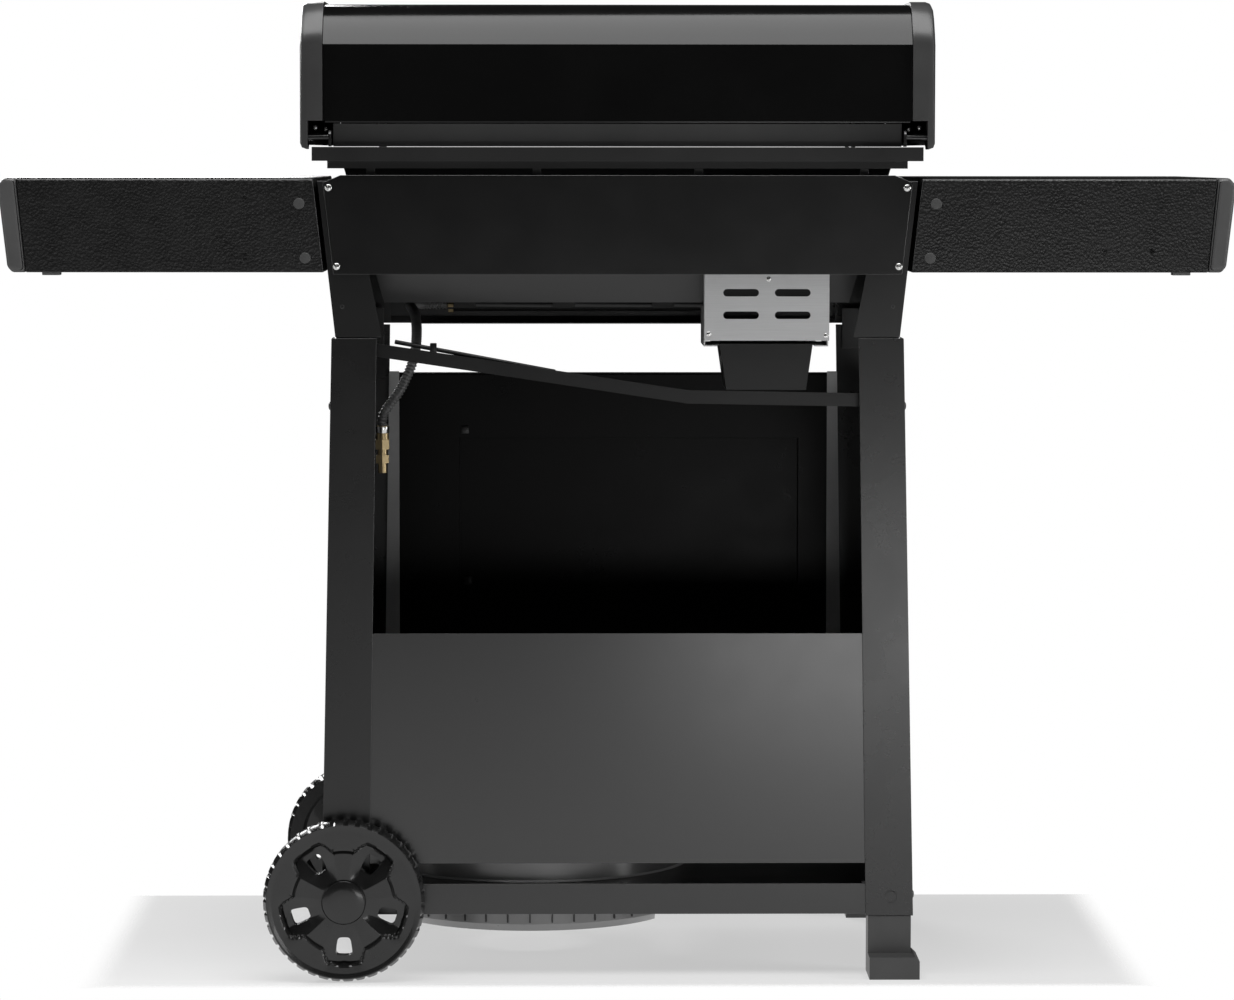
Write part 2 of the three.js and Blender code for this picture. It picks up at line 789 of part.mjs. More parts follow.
function makeBurners() {
  const front = manifoldY + valveHalf + gap;
  burnerX.forEach((x, i) => {
    const back = fireboxInsideY(burnerZ - burnerRadius) - 1;
    const tube = cylinder("y", [x, (front + back) / 2, burnerZ], burnerRadius, back - front);
    piece("burner_" + (i + 1), tube, stainless);
  });
  const main = cylinder(
    "x",
    [(manifoldEndX + manifoldFarX) / 2, manifoldY, manifoldZ],
    manifoldRadius,
    manifoldEndX - manifoldFarX,
  );
  const nutAt = [manifoldEndX + nutLength / 2, manifoldY, manifoldZ];
  const nut = cylinder("x", nutAt, manifoldRadius + 2, nutLength, 6);
  const valves = burnerX.flatMap((x) => {
    const body = box(
      [x - valveHalf, x + valveHalf],
      [manifoldY - valveHalf, manifoldY + valveHalf],
      [manifoldZ - 4, burnerZ + valveHalf],
    );
    const from = manifoldY - valveHalf + 1;
    const to = controlFaceY - 14;
    const stem = cylinder("y", [x, (from + to) / 2, burnerZ], stemRadius, from - to, 12);
    return [body, stem];
  });
  piece("gas_manifold", join(main, nut, ...valves), blackSteel);

  const reach = fireboxInsideY(tentZ) - 1.5;
  const line = (centre) => [
    [centre - tentHalf, tentZ],
    [centre, tentZ + tentRise],
    [centre + tentHalf, tentZ],
  ];
  const plate = (a, b) => prismY(folded([...line(a), ...line(b)], -thinSheet), [-reach, reach]);
  piece("heat_plate_left", plate(burnerX[0], burnerX[1]), castIron);
  piece("heat_plate_right", plate(burnerX[2], burnerX[3]), castIron);

  const trayX = fireboxFloorX - fireboxWall - 4;
  const trayY = fireboxFloorY - fireboxWall - 4;
  const trayZ = [fireboxBottomZ + fireboxWall + gap, fireboxBottomZ + fireboxWall + 12];
  const tray = box([-trayX, trayX], [-trayY, trayY], trayZ);
  const hollow = box(
    [-trayX + sheet, trayX - sheet],
    [-trayY + sheet, trayY - sheet],
    [trayZ[0] + sheet, trayZ[1] + 1],
  );
  const drainAt = [cupX, fireboxFloorY - drainFromEdge, trayZ[0]];
  const drain = cylinder("z", drainAt, drainRadius - 2, 20, 20);
  piece("drip_tray", tray.subtract(hollow).subtract(drain), stainless);
}

function makeGrates() {
  const z = [flangeZ[0] + gap, flangeZ[0] + 10];
  const [start, end] = [grateClear, grateHalfX - grateClear];
  const pitch = (end - start - grateBar) / grateBars;
  const through = [z[0] - past, z[1] + past];
  let grate = box([start, end], [-grateHalfY + grateClear, grateHalfY - grateClear], z);
  for (let i = 0; i < grateBars; i++) {
    const x = start + grateBar + i * pitch;
    const slot = [x, x + pitch - grateBar];
    grate = grate.subtract(box(slot, [-grateHalfY + grateRim, -grateBar / 2], through));
    grate = grate.subtract(box(slot, [grateBar / 2, grateHalfY - grateRim], through));
  }
  pair("cooking_grate", grate, castIron);

  const wire = rackWire;
  const rails = rackY.map((y) =>
    box([-rackHalf, rackHalf], [y - wire, y + wire], [rackZ - wire, rackZ + wire]),
  );
  const cross = [];
  for (let i = 0; i <= rackBars; i++) {
    const x = -rackHalf + 2 * wire + (i * (2 * rackHalf - 4 * wire)) / rackBars;
    cross.push(box([x - 1.6, x + 1.6], [rackY[0] - 1, rackY[1] + 1], [rackZ - 1, rackZ + 2.2]));
  }
  const legX = rackHalf - 5 * wire;
  const posts = [-legX, legX].flatMap((x) =>
    rackY.map((y) => box([x - 2.4, x + 2.4], [y - 2.4, y + 2.4], [z[1] + gap, rackZ - 2])),
  );
  piece("warming_rack", join(...rails, ...cross, ...posts), stainless);
}

function makeGrease() {
  const outer = (grow, z) => [
    [cupX - cupTopHalf + grow, z[1]],
    [cupX - cupBottomHalf + grow, z[0]],
    [cupX + cupBottomHalf - grow, z[0]],
    [cupX + cupTopHalf - grow, z[1]],
  ];
  const rim = box(
    [cupX - cupTopHalf - 8, cupX + cupTopHalf + 8],
    [cupY[0], cupY[1]],
    [cupZ[1] - thinSheet, cupZ[1]],
  );
  const cup = join(prismY(outer(0, cupZ), cupY), rim).subtract(
    prismY(outer(sheet, [cupZ[0] + sheet, cupZ[1] + 1]), [cupY[0] + sheet, cupY[1] - sheet]),
  );
  piece("grease_cup", cup, blackSteel);

  const x = [cupX - guardHalf, cupX + guardHalf];
  const y = [guardY - sheet, guardY];
  let face = box(x, y, guardZ);
  for (const slotX of [cupX - guardSlotX, cupX + guardSlotX])
    for (const slotZ of guardSlotZ) {
      const slot = join(
        box(
          [slotX - guardSlotHalf, slotX + guardSlotHalf],
          [y[0] - 1, y[1] + 1],
          [slotZ - guardSlotRadius, slotZ + guardSlotRadius],
        ),
        cylinder("y", [slotX - guardSlotHalf, y[0], slotZ], guardSlotRadius, 8),
        cylinder("y", [slotX + guardSlotHalf, y[0], slotZ], guardSlotRadius, 8),
      );
      face = face.subtract(slot);
    }
  const cheek = (from, to) =>
    join(
      box([from, to], [cupY[0] - 4, guardY - 0.1], [guardZ[0], fireboxBottomZ - 4]),
      box([from, to], [guardY - guardReturn, guardY - 0.1], guardZ),
    );
  const cheeks = [cheek(x[0], x[0] + thinSheet), cheek(x[1] - thinSheet, x[1])];
  const underRim = cupZ[1] - thinSheet - gap;
  const rail = (side) => {
    const edge = cupX + side * guardHalf;
    const inward = cupX + side * (cupTopHalf + 3);
    const wall = side > 0 ? [edge - thinSheet, edge] : [edge, edge + thinSheet];
    const lip = side > 0 ? [inward, edge] : [edge, inward];
    return join(
      box(wall, [cupY[0] - 4, cupY[1] - 8], [underRim - thinSheet, guardZ[0] + 0.5]),
      box(lip, [cupY[0] - 4, cupY[1] - 8], [underRim - thinSheet, underRim]),
    );
  };
  piece("grease_guard", join(face, ...cheeks, rail(1), rail(-1)), stainless);
}

function makeBrace() {
  const end = legInner(braceLeftZ) + 18;
  const [kinkX, kinkZ] = braceKink;
  const outline = (low, high) => [
    [end, braceRightZ + low],
    [kinkX, kinkZ + low],
    [-end, braceLeftZ + low],
    [-end, braceLeftZ + high],
    [kinkX, kinkZ + high],
    [end, braceRightZ + high],
  ];
  const half = braceHeight / 2;
  const [near, far] = braceY;
  const web = prismY(outline(-half, half), [far - sheet, far]);
  const lip = prismY(outline(-half, -half + sheet), [near, far - sheet + gap]);
  piece("rear_brace", join(web, lip), blackSteel);
}

// The hood's side view from its rear bottom edge over the top to its front bottom edge.
function hoodLine() {
  const bend = [
    [hoodRearY - 9, hoodBendZ + 16],
    [hoodRearY - 24, hoodTopZ - 15],
    [hoodRearY - 40, hoodTopZ - 4],
    [hoodRearY - 62, hoodTopZ],
  ];
  const start = new THREE.Vector2(50, hoodTopZ);
  const curve = new THREE.CubicBezierCurve(
    start,
    new THREE.Vector2(-150, hoodTopZ),
    new THREE.Vector2(hoodFrontY, 1160),
    new THREE.Vector2(hoodFrontY, 1108),
  );
  const crown = curve.getPoints(12).map((p) => [p.x, p.y]);
  return [
    [hoodRearY, hoodRearBottomZ],
    [hoodRearY, hoodBendZ],
    ...bend,
    ...crown,
    [hoodFrontY, hoodBottomZ],
  ];
}

function makeHood() {
  const line = hoodLine();
  const skin = prismX(folded(line, hoodSheet), [-hoodHalf + gap, hoodHalf - gap]);
  piece("hood_skin", skin, enamel);

  const grown = folded(line, -hoodCapProud).slice(line.length).reverse();
  const outline = [
    [grown[0][0], hoodTailZ],
    ...grown.slice(1, -1),
    [grown[grown.length - 1][0], hoodBottomZ],
    [hingeY - 30, hoodBottomZ],
    [hingeY - 22, hoodTailZ],
  ];
  const bevel = { bevelEnabled: true, bevelThickness: 8, bevelSize: 7, bevelOffset: -7, bevelSegments: 2 };
  const block = prismX(outline, [hoodHalf - 30, hoodCapOuter - 8], bevel);
  const span = [-600, 600];
  const keep = box([hoodHalf, hoodCapOuter + 1], span, [900, 1300]);
  const pocketLine = folded(line, hoodCapWall).slice(line.length).reverse();
  const pocket = prismX(
    [
      [pocketLine[0][0], hoodTailZ + 40],
      ...pocketLine.slice(1, -1),
      [pocketLine[pocketLine.length - 1][0], hoodBottomZ + 8],
      [hingeY - 24, hoodBottomZ + 8],
      [hingeY - 24, hoodTailZ + 40],
    ],
    [hoodHalf - 5, hoodCapOuter - 6],
  );
  const corner = box([hoodHalf - 5, hoodTailInner], [hingeY - 31, 300], [900, hoodRearBottomZ]);
  const pinHole = cylinder(
    "x",
    [hoodTailInner, hingeY, hingeZ],
    hingePinRadius + pinClearance,
    2 * (hoodCapOuter - hoodTailInner - pinBlindEnd + past),
  );
  const cap = block.intersect(keep).subtract(pocket).subtract(corner).subtract(pinHole);
  pair("hood_cap", cap, blackPlastic);

  const pinEnd = hoodCapOuter - pinBlindEnd;
  const pinStart = baffleHalf + 3;
  const pin = cylinder(
    "x",
    [(pinStart + pinEnd) / 2, hingeY, hingeZ],
    hingePinRadius,
    pinEnd - pinStart,
  );
  const ear = prismX(
    [
      [hingeY - 9, flangeZ[1] + gap],
      [hingeY + 9, flangeZ[1] + gap],
      [hingeY + 9, hingeZ + 4],
      [hingeY + 5, hingeZ + 9],
      [hingeY - 9, hingeZ + 9],
    ],
    [baffleHalf + 2, baffleHalf + 2 + 3],
  );
  pair("hood_hinge", join(pin, ear), blackSteel);

  const baffleY = [hingeY - 9, hingeY - 9 + sheet];
  const strip = box([-baffleHalf, baffleHalf], baffleY, baffleZ);
  const web = box([-baffleHalf, baffleHalf], [baffleY[0], baffleY[0] + sheet / 2], [
    flangeZ[1] + gap,
    baffleZ[0] + past,
  ]);
  piece("rear_baffle", join(strip, web), blackSteel);
}

function makeHoodFront() {
  const barY = hoodFrontY - handleStandOff;
  const bar = cylinder("x", [0, barY, handleZ], handleRadius, 2 * handleHalf, 24);
  const posts = [-1, 1].map((side) => {
    const x = side * (handleHalf - 24);
    return box([x - 8, x + 8], [barY, hoodFrontY - gap], [handleZ - 8, handleZ + 8]);
  });
  piece("hood_handle", join(bar, ...posts), stainless);

  const back = hoodFrontY - gap;
  const front = back - gaugeDepth;
  const cup = [
    [0, back],
    [gaugeRadius - 3, back],
    [gaugeRadius, back - 3],
    [gaugeRadius, front + 1],
    [gaugeRadius - 1, front],
    [gaugeRadius - 4, front],
    [gaugeRadius - 5, back - 5],
    [0, back - 5],
  ];
  piece("thermometer", turnedY(cup, [0, 0, gaugeZ], 40), stainless);
  const needleY = [front + 3, front + 4.2];
  const hub = cylinder("y", [0, (needleY[0] + needleY[1]) / 2, gaugeZ], 4, 2.4, 16);
  const hand = box([-19, 19], needleY, [gaugeZ - 1, gaugeZ + 1]);
  piece("thermometer_needle", join(hub, hand), blackPlastic);
}

function makeSideShelves() {
  const [low, high] = sideShelfZ;
  const inner = (z) => headOuter(z) + sideShelfStart;
  const end = (z) => sideShelfEnd - sideShelfSlant * (high - z);
  const corner = 6;
  const outline = [
    [inner(low), low],
    [end(low), low],
    [end(high), high],
    [inner(high), high],
  ];
  const hollow = [
    [inner(low) + sheet, low - 1],
    [end(low) - sheet, low - 1],
    [end(high) - sheet, high - sheet],
    [inner(high) + sheet, high - sheet],
  ];
  const [front, back] = sideShelfY;
  const roundedTop = prismX(
    [
      [front, low - 1],
      [back, low - 1],
      [back, high - corner],
      [back - 1.8, high - 1.8],
      [back - corner, high],
      [front + corner, high],
      [front + 1.8, high - 1.8],
      [front, high - corner],
    ],
    [headOuterBottom, sideShelfEnd + past],
  );
  const tray = prismY(outline, [front, back])
    .intersect(roundedTop)
    .subtract(prismY(hollow, [front + sheet, back - sheet]));
  pair("side_shelf", tray, texturedSteel);

  const bevel = { bevelEnabled: true, bevelThickness: 7, bevelSize: 4, bevelOffset: -4, bevelSegments: 2 };
  const cap = prismY(
    [
      [end(low) + gap, low],
      [end(low) + shelfCapWidth - 6, low],
      [end(low) + shelfCapWidth, low + 7],
      [end(high) + shelfCapWidth, high - 9],
      [end(high) + shelfCapWidth - 8, high],
      [end(high) + gap, high],
    ],
    [front - 2 + 7, back + 2 - 7],
    bevel,
  );
  pair("shelf_cap", cap, blackPlastic);
}

function makeHose() {
  const points = hoseRoute.map((p) => new THREE.Vector3(...p));
  const curve = new THREE.CatmullRomCurve3(points);
  const section = new THREE.Shape();
  section.absarc(0, 0, hoseRadius, 0, 2 * Math.PI, false);
  const geometry = new THREE.ExtrudeGeometry(section, {
    steps: 30,
    curveSegments: 10,
    bevelEnabled: false,
    extrudePath: curve,
  });
  piece("gas_hose", solid(geometry), rubber);

  const [x, y, z] = hoseRoute[hoseRoute.length - 1];
  const drop = (radius, from, to, sides) =>
    cylinder("z", [x, y, z - (from + to) / 2], radius, to - from, sides);
  const coupling = join(
    drop(8, gap, 18, 16),
    drop(9.5, 17, 29, 6),
    drop(6, 28, 37, 16),
    drop(9, 36, 46, 6),
    drop(5.5, 45, 58, 16),
  );
  piece("hose_coupling", coupling, brass);
}

makeLegs();
makeFeet();
makeWheels();
makeCartPanels();
makeBottomShelf();
makeTankWell();
makeDoor();
makeHead();
makeControlPanel();
makeFirebox();
makeBurners();
makeGrates();
makeGrease();
makeBrace();
makeHood();
makeHoodFront();
makeSideShelves();
makeHose();

// The origin stands on the floor under the middle of the whole grill.
const rearmost = cartHalfDepth + wheelClearance + wheelWidth + hubCapProud;
const frontmost = hoodFrontY - handleStandOff - handleRadius;
grill.position.y = -(rearmost + frontmost) / 2;

export default grill;
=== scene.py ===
"""The looks of a gas barbecue grill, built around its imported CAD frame, in metres."""
import json
import math
import bmesh
import bpy
from mathutils import Matrix, Vector


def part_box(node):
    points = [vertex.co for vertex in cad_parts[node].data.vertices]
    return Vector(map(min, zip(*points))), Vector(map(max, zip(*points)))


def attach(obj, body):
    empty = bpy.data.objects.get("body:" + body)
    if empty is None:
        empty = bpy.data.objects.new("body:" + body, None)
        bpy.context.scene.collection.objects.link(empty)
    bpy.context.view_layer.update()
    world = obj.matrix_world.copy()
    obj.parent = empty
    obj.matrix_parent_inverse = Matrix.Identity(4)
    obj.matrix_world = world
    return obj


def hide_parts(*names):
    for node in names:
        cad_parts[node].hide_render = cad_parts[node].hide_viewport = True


MM = 0.001
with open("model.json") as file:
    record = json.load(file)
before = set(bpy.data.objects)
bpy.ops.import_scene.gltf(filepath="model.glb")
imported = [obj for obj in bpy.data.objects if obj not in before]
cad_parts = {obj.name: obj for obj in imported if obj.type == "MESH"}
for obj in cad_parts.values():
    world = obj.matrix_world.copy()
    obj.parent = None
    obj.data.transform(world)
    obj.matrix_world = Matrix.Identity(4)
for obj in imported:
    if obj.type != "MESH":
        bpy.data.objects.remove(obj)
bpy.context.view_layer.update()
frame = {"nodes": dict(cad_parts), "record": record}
nodes = frame["nodes"]


def low(node):
    return Vector(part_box(node)[0])


def high(node):
    return Vector(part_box(node)[1])


def middle(node):
    return (low(node) + high(node)) / 2


# The cart's own middle plane: halfway between the rear and the front legs.
CART_Y = (high("rear_leg_right").y + low("front_leg_right").y) / 2


# ---------------------------------------------------------------- camera
EYE = Vector((0.0744, CART_Y + 5.625, 0.993))
PITCH = math.radians(4.395)
YAW = math.radians(0.78)
ROLL = math.radians(0.037)
LENS = 131.53


def make_camera():
    data = bpy.data.cameras.new("camera")
    data.lens = LENS
    data.sensor_width = 36.0
    data.clip_end = 60.0
    camera = bpy.data.objects.new("camera", data)
    bpy.context.collection.objects.link(camera)
    turn = Matrix.Rotation(math.pi - YAW, 4, "Z")
    turn = turn @ Matrix.Rotation(math.pi / 2 - PITCH, 4, "X")
    turn = turn @ Matrix.Rotation(ROLL, 4, "Z")
    camera.matrix_world = Matrix.Translation(EYE) @ turn
    bpy.context.scene.camera = camera


make_camera()


# ---------------------------------------------------------------- node helpers
class Nodes:
    """A short way to write a material's node tree."""

    def __init__(self, name):
        self.material = bpy.data.materials.new(name)
        self.material.use_nodes = True
        self.tree = self.material.node_tree
        self.shader = self.tree.nodes["Principled BSDF"]
        self.where = self.add("ShaderNodeTexCoord").outputs["Object"]

    def add(self, kind, **settings):
        node = self.tree.nodes.new(kind)
        for key, value in settings.items():
            setattr(node, key, value)
        return node

    def link(self, source, target):
        self.tree.links.new(source, target)

    def mapped(self, scale):
        node = self.add("ShaderNodeMapping")
        node.inputs["Scale"].default_value = scale
        self.link(self.where, node.inputs["Vector"])
        return node.outputs["Vector"]

    def noise(self, scale, detail=3.0, rough=0.5, vector=None):
        node = self.add("ShaderNodeTexNoise")
        node.inputs["Scale"].default_value = scale
        node.inputs["Detail"].default_value = detail
        node.inputs["Roughness"].default_value = rough
        self.link(vector or self.where, node.inputs["Vector"])
        return node.outputs["Fac"]

    def cells(self, scale, feature="F1", smooth=0.0):
        node = self.add("ShaderNodeTexVoronoi", feature=feature)
        node.inputs["Scale"].default_value = scale
        if feature == "SMOOTH_F1":
            node.inputs["Smoothness"].default_value = smooth
        self.link(self.where, node.inputs["Vector"])
        return node.outputs["Distance"]

    def ramp(self, source, stops):
        node = self.add("ShaderNodeValToRGB")
        element = node.color_ramp.elements
        for place, (position, value) in enumerate(stops):
            stop = element[place] if place < 2 else element.new(position)
            stop.position = position
            colour = value if isinstance(value, tuple) else (value, value, value)
            stop.color = (*colour, 1.0)
        self.link(source, node.inputs["Fac"])
        return node.outputs["Color"]

    def blend(self, first, second, share):
        node = self.add("ShaderNodeMix", data_type="FLOAT")
        node.inputs["Factor"].default_value = share
        self.link(first, node.inputs[2])
        self.link(second, node.inputs[3])
        return node.outputs[0]

    def bump(self, height, strength, distance):
        node = self.add("ShaderNodeBump")
        node.inputs["Strength"].default_value = strength
        node.inputs["Distance"].default_value = distance
        self.link(height, node.inputs["Height"])
        self.link(node.outputs["Normal"], self.shader.inputs["Normal"])

    def colour(self, source):
        self.link(source, self.shader.inputs["Base Color"])

    def roughness(self, source):
        self.link(source, self.shader.inputs["Roughness"])

    def fixed(self, **values):
        for key, value in values.items():
            self.shader.inputs[key.replace("_", " ")].default_value = value


def grey_range(tone, spread, tint=(1.0, 1.0, 1.0)):
    """Two nearly equal colours, a little darker and a little lighter than tone."""
    return [tuple(tone * (1 + side * spread) * c for c in tint) for side in (-1, 1)]


def smudged(m, tone, spread, rough, rough_spread, scale, tint=(1.0, 1.0, 1.0)):
    """Colour and roughness that wander a little over the surface, as a handled finish does."""
    dark, light = grey_range(tone, spread, tint)
    m.colour(m.ramp(m.noise(scale, 5.0, 0.6), [(0.35, dark), (0.65, light)]))
    limits = [(0.3, rough - rough_spread), (0.7, rough + rough_spread)]
    m.roughness(m.ramp(m.noise(scale * 2.7, 6.0, 0.65), limits))


# ---------------------------------------------------------------- materials
def powder_coat(name="powder_coat", tone=0.004, rough=0.30, peel=0.10, coat=0.7, specular=0.5):
    """Painted steel with a faint orange peel."""
    m = Nodes(name)
    smudged(m, tone, 0.18, rough, 0.035, 4.0)
    fine = m.noise(520.0, 2.0)
    slow = m.noise(90.0, 2.0)
    m.bump(m.blend(fine, slow, 0.35), peel, 0.0006)
    m.fixed(IOR=1.5, Specular_IOR_Level=specular, Coat_Weight=coat, Coat_Roughness=0.22)
    return m.material


def textured_coat():
    """Pebbled paint, as on the shelves."""
    m = Nodes("textured_coat")
    smudged(m, 0.0055, 0.25, 0.34, 0.05, 14.0)
    pebbles = m.cells(330.0, "SMOOTH_F1", 0.35)
    worms = m.noise(210.0, 4.0, 0.62)
    m.bump(m.blend(pebbles, worms, 0.55), 0.6, 0.0016)
    m.fixed(Coat_Weight=0.2, Coat_Roughness=0.25)
    return m.material


def enamel():
    m = Nodes("hood_enamel")
    smudged(m, 0.0035, 0.15, 0.17, 0.03, 3.0)
    m.bump(m.noise(60.0, 2.0), 0.04, 0.0004)
    m.fixed(Specular_IOR_Level=0.36)
    return m.material


def moulded_plastic(name="black_plastic", tone=0.012, rough=0.36, grain=0.16, coat=0.0):
    """Plastic with a fine spark-eroded grain."""
    m = Nodes(name)
    smudged(m, tone, 0.15, rough, 0.04, 9.0)
    m.bump(m.blend(m.cells(1400.0), m.noise(900.0, 2.0), 0.5), grain, 0.0003)
    m.fixed(Coat_Weight=coat)
    return m.material


def stainless(name="stainless", stretch=(3.0, 90.0, 420.0), tone=0.62, rough=0.42):
    """Brushed steel, with its lines stretched along one axis."""
    m = Nodes(name)
    lines = m.noise(6.0, 6.0, 0.7, m.mapped(stretch))
    dark, light = grey_range(tone, 0.10, (1.0, 1.005, 1.01))
    m.colour(m.ramp(lines, [(0.3, dark), (0.7, light)]))
    m.roughness(m.ramp(lines, [(0.25, rough - 0.05), (0.75, rough + 0.09)]))
    m.bump(lines, 0.10, 0.0003)
    m.fixed(Metallic=1.0)
    return m.material


def zinc():
    m = Nodes("bright_zinc")
    smudged(m, 0.72, 0.08, 0.22, 0.05, 160.0, (1.0, 1.0, 0.985))
    m.bump(m.noise(900.0, 3.0), 0.12, 0.0002)
    m.fixed(Metallic=1.0)
    return m.material


def cast_iron():
    m = Nodes("cast_iron")
    smudged(m, 0.020, 0.3, 0.62, 0.1, 30.0, (1.0, 0.97, 0.93))
    m.bump(m.blend(m.noise(500.0, 5.0, 0.7), m.cells(380.0), 0.4), 0.5, 0.0008)
    m.fixed(Metallic=0.25)
    return m.material


def brass():
    m = Nodes("brass")
    smudged(m, 0.50, 0.06, 0.38, 0.05, 60.0, (1.0, 0.78, 0.44))
    m.bump(m.noise(900.0, 3.0), 0.05, 0.0001)
    m.fixed(Metallic=1.0)
    return m.material


def hose_rubber():
    m = Nodes("hose_rubber")
    smudged(m, 0.11, 0.2, 0.40, 0.08, 60.0)
    m.bump(m.noise(1500.0, 3.0), 0.2, 0.0002)
    return m.material


def pale_plug():
    m = Nodes("grey_plug")
    smudged(m, 0.055, 0.1, 0.5, 0.05, 200.0)
    m.bump(m.noise(1600.0, 2.0), 0.2, 0.0002)
    return m.material


def painted(name, colour, rough):
    m = Nodes(name)
    dark = tuple(c * 0.88 for c in colour)
    m.colour(m.ramp(m.noise(300.0, 3.0), [(0.3, dark), (0.7, colour)]))
    m.roughness(m.ramp(m.noise(500.0, 3.0), [(0.3, rough - 0.05), (0.7, rough + 0.05)]))
    return m.material


POWDER = powder_coat()
LEG_COAT = powder_coat("leg_powder_coat", 0.004, 0.28, 0.10, 0.4)
GREY_COAT = powder_coat("grey_powder_coat", 0.075, 0.34, 0.16, 0.2)
FIREBOX_COAT = powder_coat("firebox_coat", 0.013, 0.34, 0.12, 0.3)
# Painted reflection: the cylinder well's light grey tone stands in for the sheen that light puts on
# its ring.
WELL_REFLECTION_COAT = powder_coat("well_painted_reflection", 0.16, 0.30, 0.10, 0.6)
DARK_COAT = powder_coat("dark_powder_coat", 0.003, 0.34, 0.10, 0.0)
# Painted highlight: a pale grey for the strips beside the door, standing in for light reflected from
# the door's edge in the gap.
STOP_HIGHLIGHT_COAT = powder_coat("stop_painted_highlight", 0.45, 0.34, 0.10, 0.2)
# Painted shade: the door's coat is darker and less glossy than the same paint elsewhere, standing in
# for the shade inside the cart.
DOOR_SHADE_COAT = powder_coat("door_painted_shade_coat", 0.002, 0.30, 0.05, 0.0, specular=0.14)
SHEET_COAT = powder_coat("sheet_powder_coat", 0.003, 0.24, 0.05, 1.0)
TEXTURED = textured_coat()
ENAMEL = enamel()
PLASTIC = moulded_plastic()
# The shelf caps' grey is partly their own plastic and partly a painted reflection: the tone is
# raised to stand in for light reflected from their rear faces.
SHELF_CAP_SHEEN_PLASTIC = moulded_plastic("shelf_cap_plastic_painted_sheen", 0.075, 0.36, 0.10)
HOOD_CAP_PLASTIC = moulded_plastic("hood_cap_plastic", 0.045, 0.34, 0.10)
FOOT_PLASTIC = moulded_plastic("foot_plastic", 0.05, 0.38, 0.10)
WHEEL_PLASTIC = moulded_plastic("wheel_plastic", 0.010, 0.24, 0.08, coat=0.3)
STAINLESS = stainless()
STAINLESS_Y = stainless("stainless_lengthwise", (90.0, 3.0, 420.0))
ZINC = zinc()
IRON = cast_iron()
BRASS = brass()
HOSE = hose_rubber()
PLUG = pale_plug()
NEEDLE = painted("needle_paint", (0.55, 0.04, 0.02), 0.4)
DIAL_WHITE = painted("dial_white", (0.78, 0.78, 0.75), 0.45)
DIAL_BLACK = painted("dial_black", (0.03, 0.03, 0.03), 0.45)

NODE_MATERIAL = {
    "powder_coat": POWDER,
    "textured_coat": TEXTURED,
    "hood_enamel": ENAMEL,
    "black_plastic": PLASTIC,
    "wheel_plastic": WHEEL_PLASTIC,
    "stainless": STAINLESS,
    "needle_paint": NEEDLE,
    "cast_iron": IRON,
    "brass": BRASS,
    "hose_rubber": HOSE,
}
SPECIAL = {
    "rear_leg_right": LEG_COAT,
    "rear_leg_left": LEG_COAT,
    "front_leg_right": LEG_COAT,
    "front_leg_left": LEG_COAT,
    "rear_panel": SHEET_COAT,
    "back_panel": SHEET_COAT,
    "shelf_cap_right": SHELF_CAP_SHEEN_PLASTIC,
    "shelf_cap_left": SHELF_CAP_SHEEN_PLASTIC,
    "hood_cap_right": HOOD_CAP_PLASTIC,
    "hood_cap_left": HOOD_CAP_PLASTIC,
    "rear_foot": FOOT_PLASTIC,
    "front_foot": FOOT_PLASTIC,
    "rear_baffle": GREY_COAT,
    "firebox": FIREBOX_COAT,
    "tank_well": WELL_REFLECTION_COAT,
    "rear_brace": DARK_COAT,
    "grease_cup": DARK_COAT,
    "gas_manifold": DARK_COAT,
    "door": DOOR_SHADE_COAT,
    "door_inner_frame": DOOR_SHADE_COAT,
    "drip_tray": STAINLESS_Y,
    "burner_1": STAINLESS_Y,
    "burner_2": STAINLESS_Y,
    "burner_3": STAINLESS_Y,
    "burner_4": STAINLESS_Y,
}


def paint(obj, material):
    obj.data.materials.clear()
    obj.data.materials.append(material)


def soften(obj, width, crease=None, segments=2, angle=32.0):
    """Rounds a CAD node's sharp edges, as folded sheet and mouldings have."""
    weld = obj.modifiers.new("weld", "WELD")
    weld.merge_threshold = 2e-5
    bevel = obj.modifiers.new("bevel", "BEVEL")
    bevel.width = width
    bevel.segments = segments
    bevel.limit_method = "ANGLE"
    bevel.angle_limit = math.radians(angle)
    bevel.use_clamp_overlap = True
    if crease:
        split = obj.modifiers.new("crease", "EDGE_SPLIT")
        split.split_angle = math.radians(crease)
    normals = obj.modifiers.new("normals", "WEIGHTED_NORMAL")
    normals.keep_sharp = True
    for face in obj.data.polygons:
        face.use_smooth = True


SOFT_EDGES = {
    "default": 0.5,
    "hood_skin": 1.2,
    "hood_cap_right": 1.6,
    "hood_cap_left": 1.6,
    "shelf_cap_right": 2.2,
    "shelf_cap_left": 2.2,
    "rear_foot": 1.8,
    "front_foot": 1.8,
    "side_shelf_right": 1.2,
    "side_shelf_left": 1.2,
    "firebox": 1.2,
    "cooking_grate_right": 1.2,
    "cooking_grate_left": 1.2,
    "tank_well": 0.6,
}
for row in frame["record"]["subparts"]:
    name = row["node"]
    node = nodes[name]
    paint(node, SPECIAL.get(name, NODE_MATERIAL[row["material_slot"]]))


